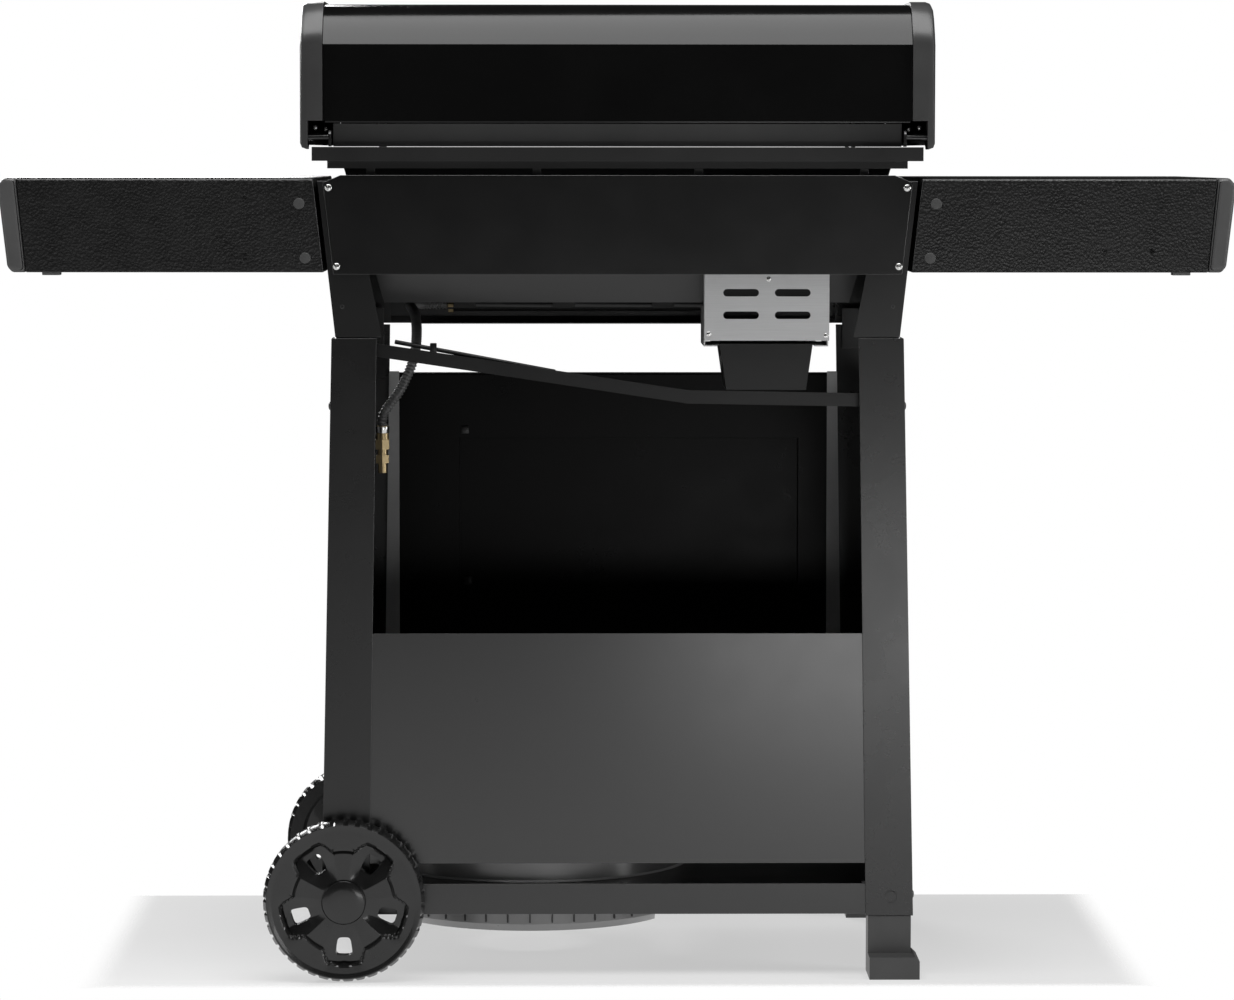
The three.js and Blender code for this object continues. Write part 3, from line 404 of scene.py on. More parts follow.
# ---------------------------------------------------------------- mesh helpers
def finish_piece(mesh_or_bmesh, name, material, body, smooth_angle=35.0):
    """Turns a bmesh into a named piece with a material that rides on a body."""
    mesh = bpy.data.meshes.new(name)
    bmesh.ops.remove_doubles(mesh_or_bmesh, verts=mesh_or_bmesh.verts, dist=1e-6)
    bmesh.ops.recalc_face_normals(mesh_or_bmesh, faces=mesh_or_bmesh.faces)
    limit = math.radians(smooth_angle)
    for edge in mesh_or_bmesh.edges:
        edge.smooth = len(edge.link_faces) == 2 and edge.calc_face_angle(0.0) < limit
    for face in mesh_or_bmesh.faces:
        face.smooth = True
    mesh_or_bmesh.to_mesh(mesh)
    mesh_or_bmesh.free()
    obj = bpy.data.objects.new(name, mesh)
    bpy.context.collection.objects.link(obj)
    mesh.materials.append(material)
    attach(obj, body)
    return obj


def add_box(bm, corner, opposite, bevel=0.0):
    """A box between two corners, with rounded edges where bevel is given."""
    a, b = Vector(corner), Vector(opposite)
    made = bmesh.ops.create_cube(bm, size=1.0)["verts"]
    size = Vector((abs(b.x - a.x), abs(b.y - a.y), abs(b.z - a.z)))
    for v in made:
        v.co = (a + b) / 2 + Vector((v.co.x * size.x, v.co.y * size.y, v.co.z * size.z))
    if bevel:
        edges = {e for v in made for e in v.link_edges}
        bmesh.ops.bevel(bm, geom=list(edges), offset=bevel, segments=2, affect="EDGES", profile=0.6)


def frame_of(axis):
    """Two directions across an axis and the axis itself."""
    along = Vector(axis).normalized()
    start = Vector((0, 0, 1)) if abs(along.z) < 0.9 else Vector((1, 0, 0))
    across = start.cross(along).normalized()
    return across, along.cross(across), along


def add_turned(bm, centre, axis, profile, sides=32, shape=None):
    """A closed profile of (radius, height) points turned about an axis.
    shape(radius, height, angle) may move a point and returns a new radius and height."""
    u, v, w = frame_of(axis)
    centre = Vector(centre)
    rings = []
    for radius, height in profile:
        ring = []
        for i in range(sides):
            angle = 2 * math.pi * i / sides
            r, h = shape(radius, height, angle) if shape else (radius, height)
            offset = u * math.cos(angle) + v * math.sin(angle)
            ring.append(bm.verts.new(centre + offset * r + w * h))
        rings.append(ring)
    for a, b in zip(rings, rings[1:]):
        for i in range(sides):
            j = (i + 1) % sides
            bm.faces.new((a[i], a[j], b[j], b[i]))
    for ring in (rings[0], rings[-1]):
        if (ring[0].co - ring[sides // 2].co).length > 1e-7:
            bm.faces.new(ring if ring is rings[-1] else ring[::-1])


def in_metres(profile):
    """A profile that is written in millimetres, in metres."""
    return [(radius * MM, height * MM) for radius, height in profile]


def add_screw(bm, centre, axis, radius, height):
    """A pan-head screw with a cross recess."""
    def recess(r, h, angle):
        arm = abs(math.sin(2 * angle)) < 0.55
        if r < radius * 0.55 and arm:
            return r, h - height * 0.45
        return r, h

    steps = 7
    profile = [(radius, 0.0), (radius, height * 0.35)]
    for i in range(1, steps + 1):
        share = i / steps
        angle = share * math.pi / 2
        rise = height * (0.35 + 0.65 * math.sin(angle))
        profile.append((radius * max(math.cos(angle), 0.02), rise))
    add_turned(bm, centre, axis, profile, 32, recess)


def add_hex(bm, centre, axis, radius, length, chamfer=0.0006):
    profile = [
        (radius - chamfer, 0.0),
        (radius, chamfer),
        (radius, length - chamfer),
        (radius - chamfer, length),
    ]
    add_turned(bm, centre, axis, profile, 6)


def cutter(name, bm):
    """A hidden shape that a boolean modifier cuts with."""
    mesh = bpy.data.meshes.new(name)
    bmesh.ops.recalc_face_normals(bm, faces=bm.faces)
    bm.to_mesh(mesh)
    bm.free()
    obj = bpy.data.objects.new(name, mesh)
    bpy.context.collection.objects.link(obj)
    obj.hide_render = True
    obj.hide_viewport = True
    return obj


def cut(obj, tool):
    boolean = obj.modifiers.new("cut_" + tool.name, "BOOLEAN")
    boolean.operation = "DIFFERENCE"
    boolean.object = tool
    boolean.solver = "EXACT"


# ---------------------------------------------------------------- hose
# The route's points are in millimetres, with Y from the cart's middle plane.
HOSE_ROUTE = [
    (213.5, -200, 799),
    (228, -200, 799),
    (243, -195, 799),
    (255, -182, 799),
    (260, -164, 799),
    (260, -140, 799),
    (258, -110, 798),
    (255, -75, 797),
    (252, -40, 795),
    (250, -5, 793),
    (248, 28, 789),
    (246, 58, 778),
    (246, 80, 760),
    (249, 92, 741),
    (256, 98, 722),
    (265, 100, 704),
    (276, 100, 688),
    (284, 100, 677),
    (287, 100, 668),
    (287, 100, 660),
]
HOSE_DIAMETER = 13 * MM
RIB_PITCH = 4.2 * MM
RIB_DEPTH = 1.7 * MM
STEPS_PER_RIB = 4


def smooth_route(points, step):
    """Points a step apart along a smooth line through the given ones."""
    route = [Vector((x * MM, y * MM + CART_Y, z * MM)) for x, y, z in points]
    dense = []
    for i in range(len(route) - 1):
        before = route[max(i - 1, 0)]
        start, end = route[i], route[i + 1]
        after = route[min(i + 2, len(route) - 1)]
        slope_in, slope_out = (end - before) / 2, (after - start) / 2
        for k in range(20):
            t = k / 20
            dense.append(
                start * (2 * t**3 - 3 * t**2 + 1)
                + slope_in * (t**3 - 2 * t**2 + t)
                + end * (-2 * t**3 + 3 * t**2)
                + slope_out * (t**3 - t**2)
            )
    dense.append(route[-1])
    total = sum((b - a).length for a, b in zip(dense, dense[1:]))
    count = round(total / step)
    spaced, walked, target = [dense[0]], 0.0, total / count
    for a, b in zip(dense, dense[1:]):
        length = (b - a).length
        while walked + length >= target * len(spaced) - 1e-9 and len(spaced) < count:
            spaced.append(a.lerp(b, (target * len(spaced) - walked) / length))
        walked += length
    spaced.append(dense[-1])
    return spaced, total


def make_hose():
    """The hose as a tube whose radius rises and falls with its ribs."""
    path, length = smooth_route(HOSE_ROUTE, RIB_PITCH / STEPS_PER_RIB)
    bm = bmesh.new()
    sides = 18
    rings = []
    across, up = Vector((0, 1, 0)), Vector((0, 0, 1))
    for i, point in enumerate(path):
        ahead = path[min(i + 1, len(path) - 1)] - path[max(i - 1, 0)]
        along = ahead.normalized()
        if abs(along.dot(up)) < 0.98:
            across = up.cross(along)
        across = (across - along * across.dot(along)).normalized()
        up = along.cross(across)
        ribbed = 0.5 - 0.5 * math.cos(2 * math.pi * i / STEPS_PER_RIB)
        radius = HOSE_DIAMETER / 2 - RIB_DEPTH * (1 - ribbed)
        ring = []
        for k in range(sides):
            angle = 2 * math.pi * k / sides
            offset = across * math.cos(angle) + up * math.sin(angle)
            ring.append(bm.verts.new(point + offset * radius))
        rings.append(ring)
    for a, b in zip(rings, rings[1:]):
        for k in range(sides):
            j = (k + 1) % sides
            bm.faces.new((a[k], a[j], b[j], b[k]))
    bm.faces.new(rings[0][::-1])
    bm.faces.new(rings[-1])
    hose = finish_piece(bm, "corrugated_gas_hose", HOSE, "cart", 80.0)
    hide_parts("gas_hose")
    return path


hose_path = make_hose()


# ---------------------------------------------------------------- wheels
WHEEL_HOLES = 5
LOBES = [(2 * math.pi * i) / WHEEL_HOLES for i in range(WHEEL_HOLES)]
LOBE_SHARE = 0.80
HUB_RADIUS = 26.8 * MM
TREAD_BLOCKS = 40
TREAD_DEPTH = 2.2 * MM


def lobe_distance(angle):
    """The angle to the nearest lobe's middle."""
    return min(abs(((angle - lobe + math.pi) % (2 * math.pi)) - math.pi) for lobe in LOBES)


def star_share(angle):
    """The star contour's radius as a share of the wheel's, with a flat lobe over each hole."""
    nearest = lobe_distance(angle)
    flat, dip = 0.235, 0.45
    if nearest < flat:
        return LOBE_SHARE * math.cos(0.10) / max(math.cos(nearest * 0.6), 0.9)
    share = min((nearest - flat) / (dip - flat), 1.0)
    eased = share * share * (3 - 2 * share)
    return LOBE_SHARE - 0.145 * eased


def wheel_face(r, angle, outer_radius, hub_radius):
    """How deep the wheel's outer face lies below its rim at a place, in metres."""
    star = star_share(angle) * outer_radius
    rim_inner = outer_radius * 0.90
    if r > rim_inner:
        return 0.0
    shoulder = 1.2 * MM
    if r > star:
        return shoulder + 0.8 * MM * (rim_inner - r) / (rim_inner - star + 1e-6)
    nearest = lobe_distance(angle)
    wall = min((star - r) / (3.0 * MM), 1.0)
    groove = 2.0 * MM * max(0.0, 1 - abs(star - r - 2.6 * MM) / (2.2 * MM))
    centre_out = (r - hub_radius) / (LOBE_SHARE * outer_radius - hub_radius)
    pocket = max(0.0, 1 - nearest / 0.42)
    facet = 7.0 * MM * min(pocket * 1.5, 1.0) * min(max(centre_out * 2.4, 0.0), 1.0)
    spoke = 2.2 * MM
    return shoulder + wall * (spoke + facet) + groove * wall


def make_wheel(node, body, outward):
    """A moulded wheel: rings of points from the hub out over the face, the tread and the back."""
    centre = middle(node)
    size = high(node) - low(node)
    radius = size.x / 2
    half = size.y / 2
    bm = bmesh.new()
    sides = 300
    hub = HUB_RADIUS
    axis = Vector((0, outward, 0))
    u = Vector((0, 0, -1))
    v = axis.cross(u)

    def place(r, h, angle):
        return centre + (u * math.cos(angle) + v * math.sin(angle)) * r + axis * h

    def outer_point(r, angle):
        return place(r, half - wheel_face(r, angle, radius, hub), angle)

    steps = 46
    radii = [hub + (radius * 0.9 - hub) * i / steps for i in range(steps + 1)]
    radii += [radius * 0.93, radius * 0.955]
    rings = []
    for depth in (-7.0 * MM, -1.0 * MM):
        rings.append([place(hub, half + depth, 2 * math.pi * i / sides) for i in range(sides)])
    for r in radii:
        rings.append([outer_point(r, 2 * math.pi * i / sides) for i in range(sides)])
    tread = [
        (1.0, -7.0 * MM, 0.0),
        (1.0, -13.0 * MM, 1.0),
        (1.0, -half + 1.0 * MM, 1.0),
        (1.0, -2 * half + 7.0 * MM, 0.0),
    ]
    for share, depth, grooved in tread:
        ring = []
        for i in range(sides):
            angle = 2 * math.pi * i / sides
            shift = 0.5 if depth < -half else 0.0
            phase = (angle * TREAD_BLOCKS / (2 * math.pi) + shift) % 1.0
            notch = TREAD_DEPTH if 0.68 < phase < 0.97 else 0.0
            lip = 1.2 * MM if grooved == 0.0 else 0.0
            ring.append(place(radius * share - notch - lip * 0.5, half + depth, angle))
        rings.append(ring)
    back = [
        (0.955, -half + 0.5 * MM),
        (0.80, -half + 1.5 * MM),
        (0.76, -half + 16.0 * MM),
        (0.30, -half + 16.0 * MM),
        (0.26, -half + 2.0 * MM),
        (6.6 * MM / radius, -half + 2.0 * MM),
        (6.6 * MM / radius, half - 7.0 * MM),
    ]
    for share, depth in back:
        rings.append([place(radius * share, depth, 2 * math.pi * i / sides) for i in range(sides)])
    made = [[bm.verts.new(p) for p in ring] for ring in rings]
    closed = made + [made[0]]
    for a, b in zip(closed, closed[1:]):
        for i in range(sides):
            j = (i + 1) % sides
            bm.faces.new((a[i], a[j], b[j], b[i]))
    wheel = finish_piece(bm, node + "_moulded", WHEEL_PLASTIC, body, 28.0)

    holes = bmesh.new()
    for lobe in LOBES:
        add_rounded_hole(holes, centre, u, v, axis, lobe, 54.5 * MM, 11.0 * MM, 9.2 * MM)
    cut(wheel, cutter(node + "_holes", holes))
    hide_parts(node)


def add_rounded_hole(bm, centre, u, v, axis, angle, distance, half_out, half_side):
    """A prism with rounded corners, along the wheel's axis."""
    out = u * math.cos(angle) + v * math.sin(angle)
    side = axis.cross(out)
    middle_point = centre + out * distance
    outline = []
    corners = 24
    for i in range(corners):
        turn = 2 * math.pi * i / corners
        c, s = math.cos(turn), math.sin(turn)
        power = 0.45
        x = math.copysign(abs(c) ** power, c) * half_out
        y = math.copysign(abs(s) ** power, s) * half_side * (1.0 + 0.16 * x / half_out)
        outline.append(middle_point + out * x + side * y)
    low_ring = [bm.verts.new(p - axis * 60 * MM) for p in outline]
    high_ring = [bm.verts.new(p + axis * 60 * MM) for p in outline]
    for i in range(corners):
        j = (i + 1) % corners
        bm.faces.new((low_ring[i], low_ring[j], high_ring[j], high_ring[i]))
    bm.faces.new(low_ring[::-1])
    bm.faces.new(high_ring)


def make_hub_cap(node, body, outward):
    centre = middle(node)
    size = high(node) - low(node)
    half, radius = size.y / 2, size.x / 2
    profile = [
        (radius, -half),
        (radius, half - 3.0 * MM),
        (radius - 0.6 * MM, half - 2.0 * MM),
        (radius - 2.4 * MM, half - 1.2 * MM),
        (radius * 0.6, half - 0.4 * MM),
        (radius * 0.25, half - 0.05 * MM),
        (0.0001, half),
    ]
    bm = bmesh.new()
    add_turned(bm, centre, (0, outward, 0), profile, 64)
    cap = finish_piece(bm, node + "_domed", WHEEL_PLASTIC, body, 30.0)
    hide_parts(node)


make_wheel("rear_wheel", "wheel_rear", 1)
make_wheel("front_wheel", "wheel_front", -1)
make_hub_cap("rear_hub_cap", "wheel_rear", 1)
make_hub_cap("front_hub_cap", "wheel_front", -1)


# ---------------------------------------------------------------- shelves
def make_shelf_details():
    rear = high("side_shelf_right").y
    for side, name in ((1, "side_shelf_right"), (-1, "side_shelf_left")):
        bm = bmesh.new()
        for x, z in ((381, 933), (374, 868)):
            profile = [(6.6, -1.0), (6.6, 0.5), (6.1, 1.1), (4.5, 1.35), (0.05, 1.4)]
            centre = (side * x * MM, rear, z * MM)
            add_turned(bm, centre, (0, 1, 0), in_metres(profile), 32)
        finish_piece(bm, name + "_plugs", PLUG, "cart")

        bm = bmesh.new()
        for y in (rear - 60 * MM, low(name).y + 60 * MM):
            x0, x1 = sorted((side * 672 * MM, side * 694 * MM))
            z_top = low(name).z + 2.2 * MM
            add_box(bm, (x0, y - 8 * MM, z_top - 7 * MM), (x1, y + 8 * MM, z_top), 1.2 * MM)
        finish_piece(bm, name + "_rubber_stops", HOSE, "cart")

    holes = bmesh.new()
    for x, z, r in ((446, 940, 2.6), (-583, 877, 3.0), (-640, 877, 3.0), (-599, 877, 1.3)):
        profile = [(r * MM, -6 * MM), (r * MM, 4 * MM)]
        add_turned(holes, (x * MM, rear, z * MM), (0, 1, 0), profile, 20)
    add_box(holes, (443.6 * MM, rear - 6 * MM, 864.5 * MM), (448.4 * MM, rear + 4 * MM, 874 * MM))
    tool = cutter("shelf_holes", holes)
    for name in ("side_shelf_right", "side_shelf_left"):
        cut(nodes[name], tool)


make_shelf_details()


# ---------------------------------------------------------------- screws
def make_screws():
    face = high("back_panel").y
    bm = bmesh.new()
    for side in (-1, 1):
        for x, z in ((346, 952), (336.5, 858)):
            add_screw(bm, (side * x * MM, face, z * MM), (0, 1, 0), 4.2 * MM, 2.0 * MM)
    finish_piece(bm, "back_panel_screws", ZINC, "cart", 30.0)

    bm = bmesh.new()
    guard_face = high("grease_guard").y
    guard = middle("grease_guard").x
    for x, z in ((-71, 775), (70, 777), (-2, 843)):
        add_screw(bm, (guard + x * MM, guard_face, z * MM), (0, 1, 0), 3.0 * MM, 1.6 * MM)
    finish_piece(bm, "grease_guard_screws", ZINC, "cart", 30.0)

    bm = bmesh.new()
    hinge = middle("hood_hinge_right")
    for side in (-1, 1):
        for x, z in ((350, 1022), (358, 1014), (363, 1024)):
            centre = (side * x * MM, hinge.y - 19 * MM, z * MM)
            add_screw(bm, centre, (0, 1, 0), 3.2 * MM, 2.4 * MM)
    finish_piece(bm, "hood_corner_screws", ZINC, "hood", 30.0)

    bm = bmesh.new()
    leg = high("rear_leg_right")
    for side in (-1, 1):
        for z in (96.0, 690.0):
            outer = 357.2 - (z - 96.0) * 0.0215
            for y in (leg.y - 21 * MM, low("front_leg_right").y + 21 * MM):
                if side < 0 or z > 200:
                    add_screw(bm, (side * outer * MM, y, z * MM), (side, 0, 0), 5.0 * MM, 3.4 * MM)
    finish_piece(bm, "leg_side_bolts", POWDER, "cart", 30.0)

    bm = bmesh.new()
    ring = [(7.6, -0.4), (7.6, 0.25), (7.1, 0.45), (6.7, 0.2), (0.05, 0.2)]
    centre = (-331 * MM, leg.y, 96 * MM)
    add_turned(bm, centre, (0, 1, 0), in_metres(ring), 40)
    finish_piece(bm, "rear_leg_plug", LEG_COAT, "cart", 30.0)

    bm = bmesh.new()
    head_face = high("head_side_right").y
    for side in (-1, 1):
        profile = [(1.9, -0.6), (2.6, 0.15), (1.9, 0.3), (1.5, -0.4), (0.05, -0.4)]
        centre = (side * 330 * MM, head_face, 810 * MM)
        add_turned(bm, centre, (0, 1, 0), in_metres(profile), 24)
    finish_piece(bm, "head_rivets", DIAL_BLACK, "cart", 30.0)


make_screws()


# ---------------------------------------------------------------- hood details
def make_hood_details():
    skin_low, skin_high = low("hood_skin"), high("hood_skin")
    bm = bmesh.new()
    hem_z = 1032 * MM
    rear = skin_high.y
    add_box(
        bm,
        (skin_low.x + 2 * MM, rear - 3.2 * MM, hem_z - 2.4 * MM),
        (skin_high.x - 2 * MM, rear - 0.1 * MM, hem_z + 3.2 * MM),
        1.1 * MM,
    )
    finish_piece(bm, "hood_rear_hem", ENAMEL, "hood")

    bm = bmesh.new()
    gauge = middle("thermometer")
    dial_y = low("thermometer").y + 6.8 * MM
    profile = [(0.05, 0.0), (24.6, 0.0), (24.6, 0.4), (0.05, 0.4)]
    add_turned(bm, (gauge.x, dial_y, gauge.z), (0, -1, 0), in_metres(profile), 64)
    finish_piece(bm, "thermometer_dial", DIAL_WHITE, "hood")

    bm = bmesh.new()
    ticks = 28
    for i in range(ticks):
        turn = math.radians(-135 + 270 * i / (ticks - 1))
        out = Vector((math.sin(turn), 0, math.cos(turn)))
        across = Vector((math.cos(turn), 0, -math.sin(turn)))
        long_tick = i % 3 == 0
        inner, outer = (17.5 if long_tick else 20.0), 23.2
        width = 0.55 if long_tick else 0.3
        face_y = dial_y - 0.42 * MM
        corners = []
        for r, w in ((inner, -width), (outer, -width), (outer, width), (inner, width)):
            p = Vector((gauge.x, face_y, gauge.z)) + out * r * MM + across * w * MM
            corners.append(p)
        front = [bm.verts.new(p + Vector((0, -0.12 * MM, 0))) for p in corners]
        back = [bm.verts.new(p + Vector((0, 0.05 * MM, 0))) for p in corners]
        bm.faces.new(front)
        bm.faces.new(back[::-1])
        for a in range(4):
            b = (a + 1) % 4
            bm.faces.new((front[a], front[b], back[b], back[a]))
    finish_piece(bm, "thermometer_ticks", DIAL_BLACK, "hood")

    bm = bmesh.new()
    bar = middle("hood_handle")
    ends = (low("hood_handle").x, high("hood_handle").x)
    bar_y = low("hood_handle").y + 11 * MM
    for x, way in ((ends[0], 1), (ends[1], -1)):
        profile = [(0.05, 0.0), (9.5, 0.0), (11.2, 1.4), (11.2, 12.0), (10.9, 12.6)]
        add_turned(bm, (x, bar_y, bar.z), (way, 0, 0), in_metres(profile), 32)
    finish_piece(bm, "hood_handle_ends", PLASTIC, "hood")


make_hood_details()


# ---------------------------------------------------------------- control panel details
def make_control_details():
    face = low("control_panel").y
    bm = bmesh.new()
    marks = bmesh.new()
    for i in range(1, 5):
        knob = middle("burner_knob_%d" % i)
        profile = [(27.4, 0.0), (27.4, 0.9), (28.4, 1.5), (30.4, 1.4), (31.2, 0.0)]
        add_turned(bm, (knob.x, face, knob.z), (0, -1, 0), in_metres(profile), 64)
        for k in range(7):
            turn = math.radians(-k * 22.5)
            out = Vector((math.sin(turn), 0, math.cos(turn)))
            place = Vector((knob.x, face, knob.z)) + out * 36.5 * MM
            size = (1.0 + 0.18 * k) * MM
            disc = [(size, 0.0), (size, 0.15 * MM), (0.00005, 0.15 * MM)]
            add_turned(marks, place, (0, -1, 0), disc, 16)
        pointer_y = low("burner_knob_%d" % i).y
        groove = bmesh.new()
        add_box(
            groove,
            (knob.x - 0.9 * MM, pointer_y - 1.0 * MM, knob.z + 5 * MM),
            (knob.x + 0.9 * MM, pointer_y + 0.5 * MM, knob.z + 15 * MM),
        )
        cut(nodes["burner_knob_%d" % i], cutter("knob_groove_%d" % i, groove))
        pointer = bmesh.new()
        add_box(
            pointer,
            (knob.x - 0.9 * MM, pointer_y + 0.1 * MM, knob.z + 5 * MM),
            (knob.x + 0.9 * MM, pointer_y + 0.6 * MM, knob.z + 15 * MM),
        )
        finish_piece(pointer, "knob_pointer_%d" % i, DIAL_WHITE, "knob_%d" % i)
    finish_piece(bm, "knob_bezels", STAINLESS, "cart")
    finish_piece(marks, "knob_marks", DIAL_WHITE, "cart")

    bm = bmesh.new()
    button = middle("ignition_button")
    profile = [(9.7, 0.0), (9.7, 1.4), (10.6, 2.0), (13.0, 1.6), (13.8, 0.0)]
    add_turned(bm, (button.x, face, button.z), (0, -1, 0), in_metres(profile), 48)
    finish_piece(bm, "ignition_bezel", STAINLESS, "cart")


make_control_details()


# ---------------------------------------------------------------- gas fittings and under the firebox
def make_fittings():
    bm = bmesh.new()
    manifold = high("gas_manifold")
    y, z = CART_Y - 200 * MM, 799 * MM
    add_hex(bm, (manifold.x + 0.1 * MM, y, z), (-1, 0, 0), 11.6 * MM, 7.0 * MM)
    for x in (62, 190):
        add_hex(bm, (x * MM, y + 9 * MM, z - 1 * MM), (0, 1, 0), 3.4 * MM, 4.0 * MM)
    finish_piece(bm, "manifold_nuts", BRASS, "cart")

    bm = bmesh.new()
    end = hose_path[-1]
    profile = [(0.05, 0.0), (7.9, 0.0), (8.3, 0.8), (8.3, 7.6), (7.6, 8.4), (0.05, 8.4)]
    base = (end.x, end.y, end.z - 9.0 * MM)
    add_turned(bm, base, (0, 0, 1), in_metres(profile), 32)
    finish_piece(bm, "hose_crimp_ring", ZINC, "cart")


make_fittings()


def make_brace_rod():
    """The thin rod above the brace, with its clip."""
    bm = bmesh.new()
    start = Vector((268 * MM, CART_Y + 200 * MM, 767 * MM))
    end = Vector((75 * MM, CART_Y + 200 * MM, 731 * MM))
    axis = end - start
    length = axis.length
    end_height = length / MM
    profile = [(0.05, 0.0), (2.2, 0.0), (2.6, 0.6)]
    profile += [(2.6, end_height - 0.6), (2.2, end_height), (0.05, end_height)]
    add_turned(bm, start, axis, in_metres(profile), 16)
    clip = start.lerp(end, 0.24)
    add_box(bm, clip - Vector((4, 5, 7)) * MM, clip + Vector((4, 5, 7)) * MM, 1.2 * MM)
    finish_piece(bm, "brace_rod", DARK_COAT, "cart")


make_brace_rod()


# ---------------------------------------------------------------- door details
def make_door_details():
    bm = bmesh.new()
    door_low = low("door")
    for z in (214, 640):
        centre = (door_low.x + 4 * MM, middle("door").y, z * MM)
        profile = [(0.05, 0.0), (3.6, 0.0), (4.0, 0.5), (4.0, 34.5), (3.6, 35.0), (0.05, 35.0)]
        add_turned(bm, centre, (0, 0, 1), in_metres(profile), 24)
    finish_piece(bm, "door_hinge_barrels", POWDER, "cart_door")

    bm = bmesh.new()
    frame_back = high("door_inner_frame").y
    for x, z in ((192, 636), (188, 440)):
        corner = (x * MM - 5 * MM, frame_back, z * MM - 5 * MM)
        add_box(bm, corner, (x * MM + 5 * MM, frame_back + 3 * MM, z * MM + 5 * MM), 0.8 * MM)
    finish_piece(bm, "door_clips", DARK_COAT, "cart_door")


make_door_details()


def make_door_stop_highlight():
    """Pale strips on the front legs and the front rail that the closed door rests near; their pale
    grey is a painted highlight for the light reflected from the door's edge in the gap.
    """
    near = high("door").y + 1.6 * MM
    thick = 1.0 * MM
    low_z, high_z = 190 * MM, 712 * MM
    inside = 277 * MM
    leg_low, leg_high = low("front_leg_right").z, high("front_leg_right").z
    leg_edges = (300.3 * MM, low("front_leg_right").x - 0.2 * MM)

    def leg_x(z):
        share = (z - leg_low) / (leg_high - leg_low)
        return leg_edges[0] + (leg_edges[1] - leg_edges[0]) * share

    bm = bmesh.new()
    for side in (-1, 1):
        outline = [(inside, low_z), (leg_x(low_z), low_z)]
        outline += [(leg_x(high_z), high_z), (inside, high_z)]
        rings = []
        for y in (near, near + thick):
            rings.append([bm.verts.new((side * x, y, z)) for x, z in outline])
        a, b = rings
        bm.faces.new(a)
        bm.faces.new(b[::-1])
        for k in range(4):
            j = (k + 1) % 4
            bm.faces.new((a[k], b[k], b[j], a[j]))
    add_box(bm, (-inside, near, low_z), (inside, near + thick, 210 * MM), 0.2 * MM)
    finish_piece(bm, "door_stop_painted_highlight", STOP_HIGHLIGHT_COAT, "cart")


make_door_stop_highlight()


# ---------------------------------------------------------------- cylinder well details
def make_well_ribs():
    """Stiffening ribs round the pan's wall."""
    bm = bmesh.new()
    well_low, well_high = low("tank_well"), high("tank_well")
    centre_x = 106 * MM
    radius = 190.3 * MM
    ribs = 44
    for i in range(ribs):
        angle = 2 * math.pi * i / ribs
        out = Vector((math.cos(angle), math.sin(angle), 0))
        if abs(out.x) * radius > 150 * MM:
            continue
        across = Vector((-out.y, out.x, 0))
        base = Vector((centre_x, CART_Y, 0)) + out * radius
        corners = []
        for z in (well_low.z + 12 * MM, 92 * MM):
            for w, r in ((-0.8, 0.0), (0.8, 0.0), (0.8, 1.4), (-0.8, 1.4)):
                place = base + across * w * MM + out * r * MM + Vector((0, 0, z))
                corners.append(bm.verts.new(place))
        a, b = corners[:4], corners[4:]
        bm.faces.new(a[::-1])
        bm.faces.new(b)
        for k in range(4):
            j = (k + 1) % 4
            bm.faces.new((a[k], a[j], b[j], b[k]))
    finish_piece(bm, "well_ribs", DARK_COAT, "cart")


make_well_ribs()


# ---------------------------------------------------------------- soft edges, after the cuts
for name, node in nodes.items():
    if node.hide_render:
        continue
    width = SOFT_EDGES.get(name, SOFT_EDGES["default"]) * MM
    soften(node, width, 26.0 if name == "hood_skin" else None)


# ---------------------------------------------------------------- floor and light
FLOOR_HALF = 0.60
FLOOR_BACK = CART_Y - 0.372
FLOOR_NEAR = CART_Y + 0.275


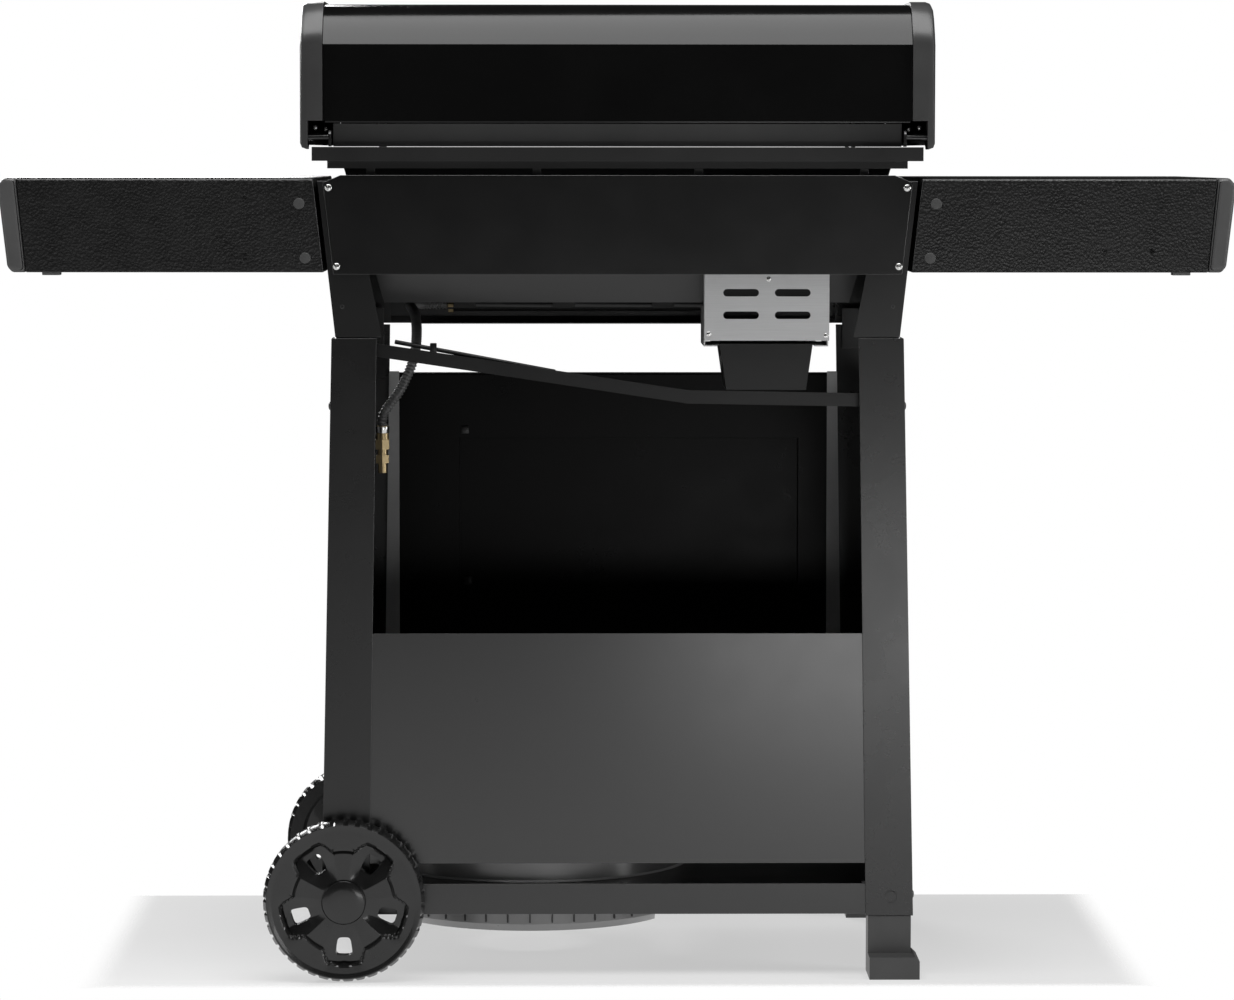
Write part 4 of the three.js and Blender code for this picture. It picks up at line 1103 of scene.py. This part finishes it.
def floor_material():
    """Pale and even; the camera sees only a soft-ended patch of it, and reflections see it all."""
    m = Nodes("floor_pale")
    m.colour(m.ramp(m.noise(1.2, 3.0), [(0.3, 0.80), (0.7, 0.82)]))
    m.roughness(m.ramp(m.noise(3.0, 3.0), [(0.3, 0.62), (0.7, 0.70)]))
    place = m.add("ShaderNodeSeparateXYZ")
    m.link(m.where, place.inputs[0])
    sideways = m.add("ShaderNodeMath", operation="ABSOLUTE")
    m.link(place.outputs["X"], sideways.inputs[0])
    shares = []
    for source, start, end in (
        (sideways.outputs[0], FLOOR_HALF, FLOOR_HALF + 0.05),
        (place.outputs["Y"], FLOOR_NEAR, FLOOR_NEAR + 0.03),
    ):
        fade = m.add("ShaderNodeMapRange", interpolation_type="SMOOTHSTEP")
        fade.inputs["From Min"].default_value = start
        fade.inputs["From Max"].default_value = end
        m.link(source, fade.inputs["Value"])
        shares.append(fade.outputs["Result"])
    outside = m.add("ShaderNodeMath", operation="MAXIMUM")
    m.link(shares[0], outside.inputs[0])
    m.link(shares[1], outside.inputs[1])
    seen = m.add("ShaderNodeLightPath")
    hidden = m.add("ShaderNodeMath", operation="MULTIPLY")
    m.link(outside.outputs[0], hidden.inputs[0])
    m.link(seen.outputs["Is Camera Ray"], hidden.inputs[1])
    glow = m.add("ShaderNodeEmission")
    m.link(m.ramp(m.noise(2.0, 2.0), [(0.3, 0.80), (0.7, 0.81)]), glow.inputs["Color"])
    even = m.add("ShaderNodeMixShader")
    even.inputs[0].default_value = 0.66
    m.link(m.shader.outputs[0], even.inputs[1])
    m.link(glow.outputs[0], even.inputs[2])
    clear = m.add("ShaderNodeBsdfTransparent")
    mix = m.add("ShaderNodeMixShader")
    m.link(hidden.outputs[0], mix.inputs[0])
    m.link(even.outputs[0], mix.inputs[1])
    m.link(clear.outputs[0], mix.inputs[2])
    m.link(mix.outputs[0], m.tree.nodes["Material Output"].inputs["Surface"])
    return m.material


def make_card(name, corners, material):
    mesh = bpy.data.meshes.new(name)
    mesh.from_pydata(corners, [], [(0, 1, 2, 3)])
    card = bpy.data.objects.new(name, mesh)
    bpy.context.collection.objects.link(card)
    mesh.materials.append(material)
    return card


def make_floor():
    """A pale floor that starts behind the front wheel and runs on towards the camera."""
    corners = [(-3.0, FLOOR_BACK, 0), (3.0, FLOOR_BACK, 0), (3.0, 6.0, 0), (-3.0, 6.0, 0)]
    make_card("floor", corners, floor_material())


def area_light(name, place, target, size, power, size_y=None):
    data = bpy.data.lights.new(name, "AREA")
    data.energy = power
    data.size = size
    if size_y:
        data.shape = "RECTANGLE"
        data.size_y = size_y
    light = bpy.data.objects.new(name, data)
    bpy.context.collection.objects.link(light)
    light.location = place
    direction = Vector(target) - Vector(place)
    light.rotation_euler = direction.to_track_quat("-Z", "Y").to_euler()
    light.visible_camera = False
    return light


def make_lights():
    area_light("overhead", (0.0, 0.72, 3.3), (0.0, 0.1, 0.9), 3.4, 105.0, 2.0)
    area_light("side_left", (-3.0, 0.9, 1.1), (0.0, 0.1, 0.6), 0.8, 45.0, 2.2)
    area_light("side_right", (3.0, 0.9, 1.1), (0.0, 0.1, 0.6), 0.8, 22.0, 2.2)
    area_light("front_fill", (1.6, -3.6, 2.0), (0.0, 0.0, 0.7), 2.2, 90.0, 1.6)
    area_light("low_glow", (-0.75, 3.0, 0.06), (-0.3, 0.2, 0.25), 1.1, 7.0, 0.5)
    world = bpy.data.worlds.new("studio")
    bpy.context.scene.world = world
    world.use_nodes = True
    tree = world.node_tree
    tree.nodes.clear()
    output = tree.nodes.new("ShaderNodeOutputWorld")
    mix = tree.nodes.new("ShaderNodeMixShader")
    seen = tree.nodes.new("ShaderNodeBackground")
    lit = tree.nodes.new("ShaderNodeBackground")
    path = tree.nodes.new("ShaderNodeLightPath")
    seen.inputs["Color"].default_value = (1, 1, 1, 1)
    lit.inputs["Color"].default_value = (1, 1, 1, 1)
    lit.inputs["Strength"].default_value = 0.015
    tree.links.new(path.outputs["Is Camera Ray"], mix.inputs[0])
    tree.links.new(lit.outputs[0], mix.inputs[1])
    tree.links.new(seen.outputs[0], mix.inputs[2])
    tree.links.new(mix.outputs[0], output.inputs["Surface"])
    bpy.context.scene.view_settings.view_transform = "Standard"


make_floor()
make_lights()
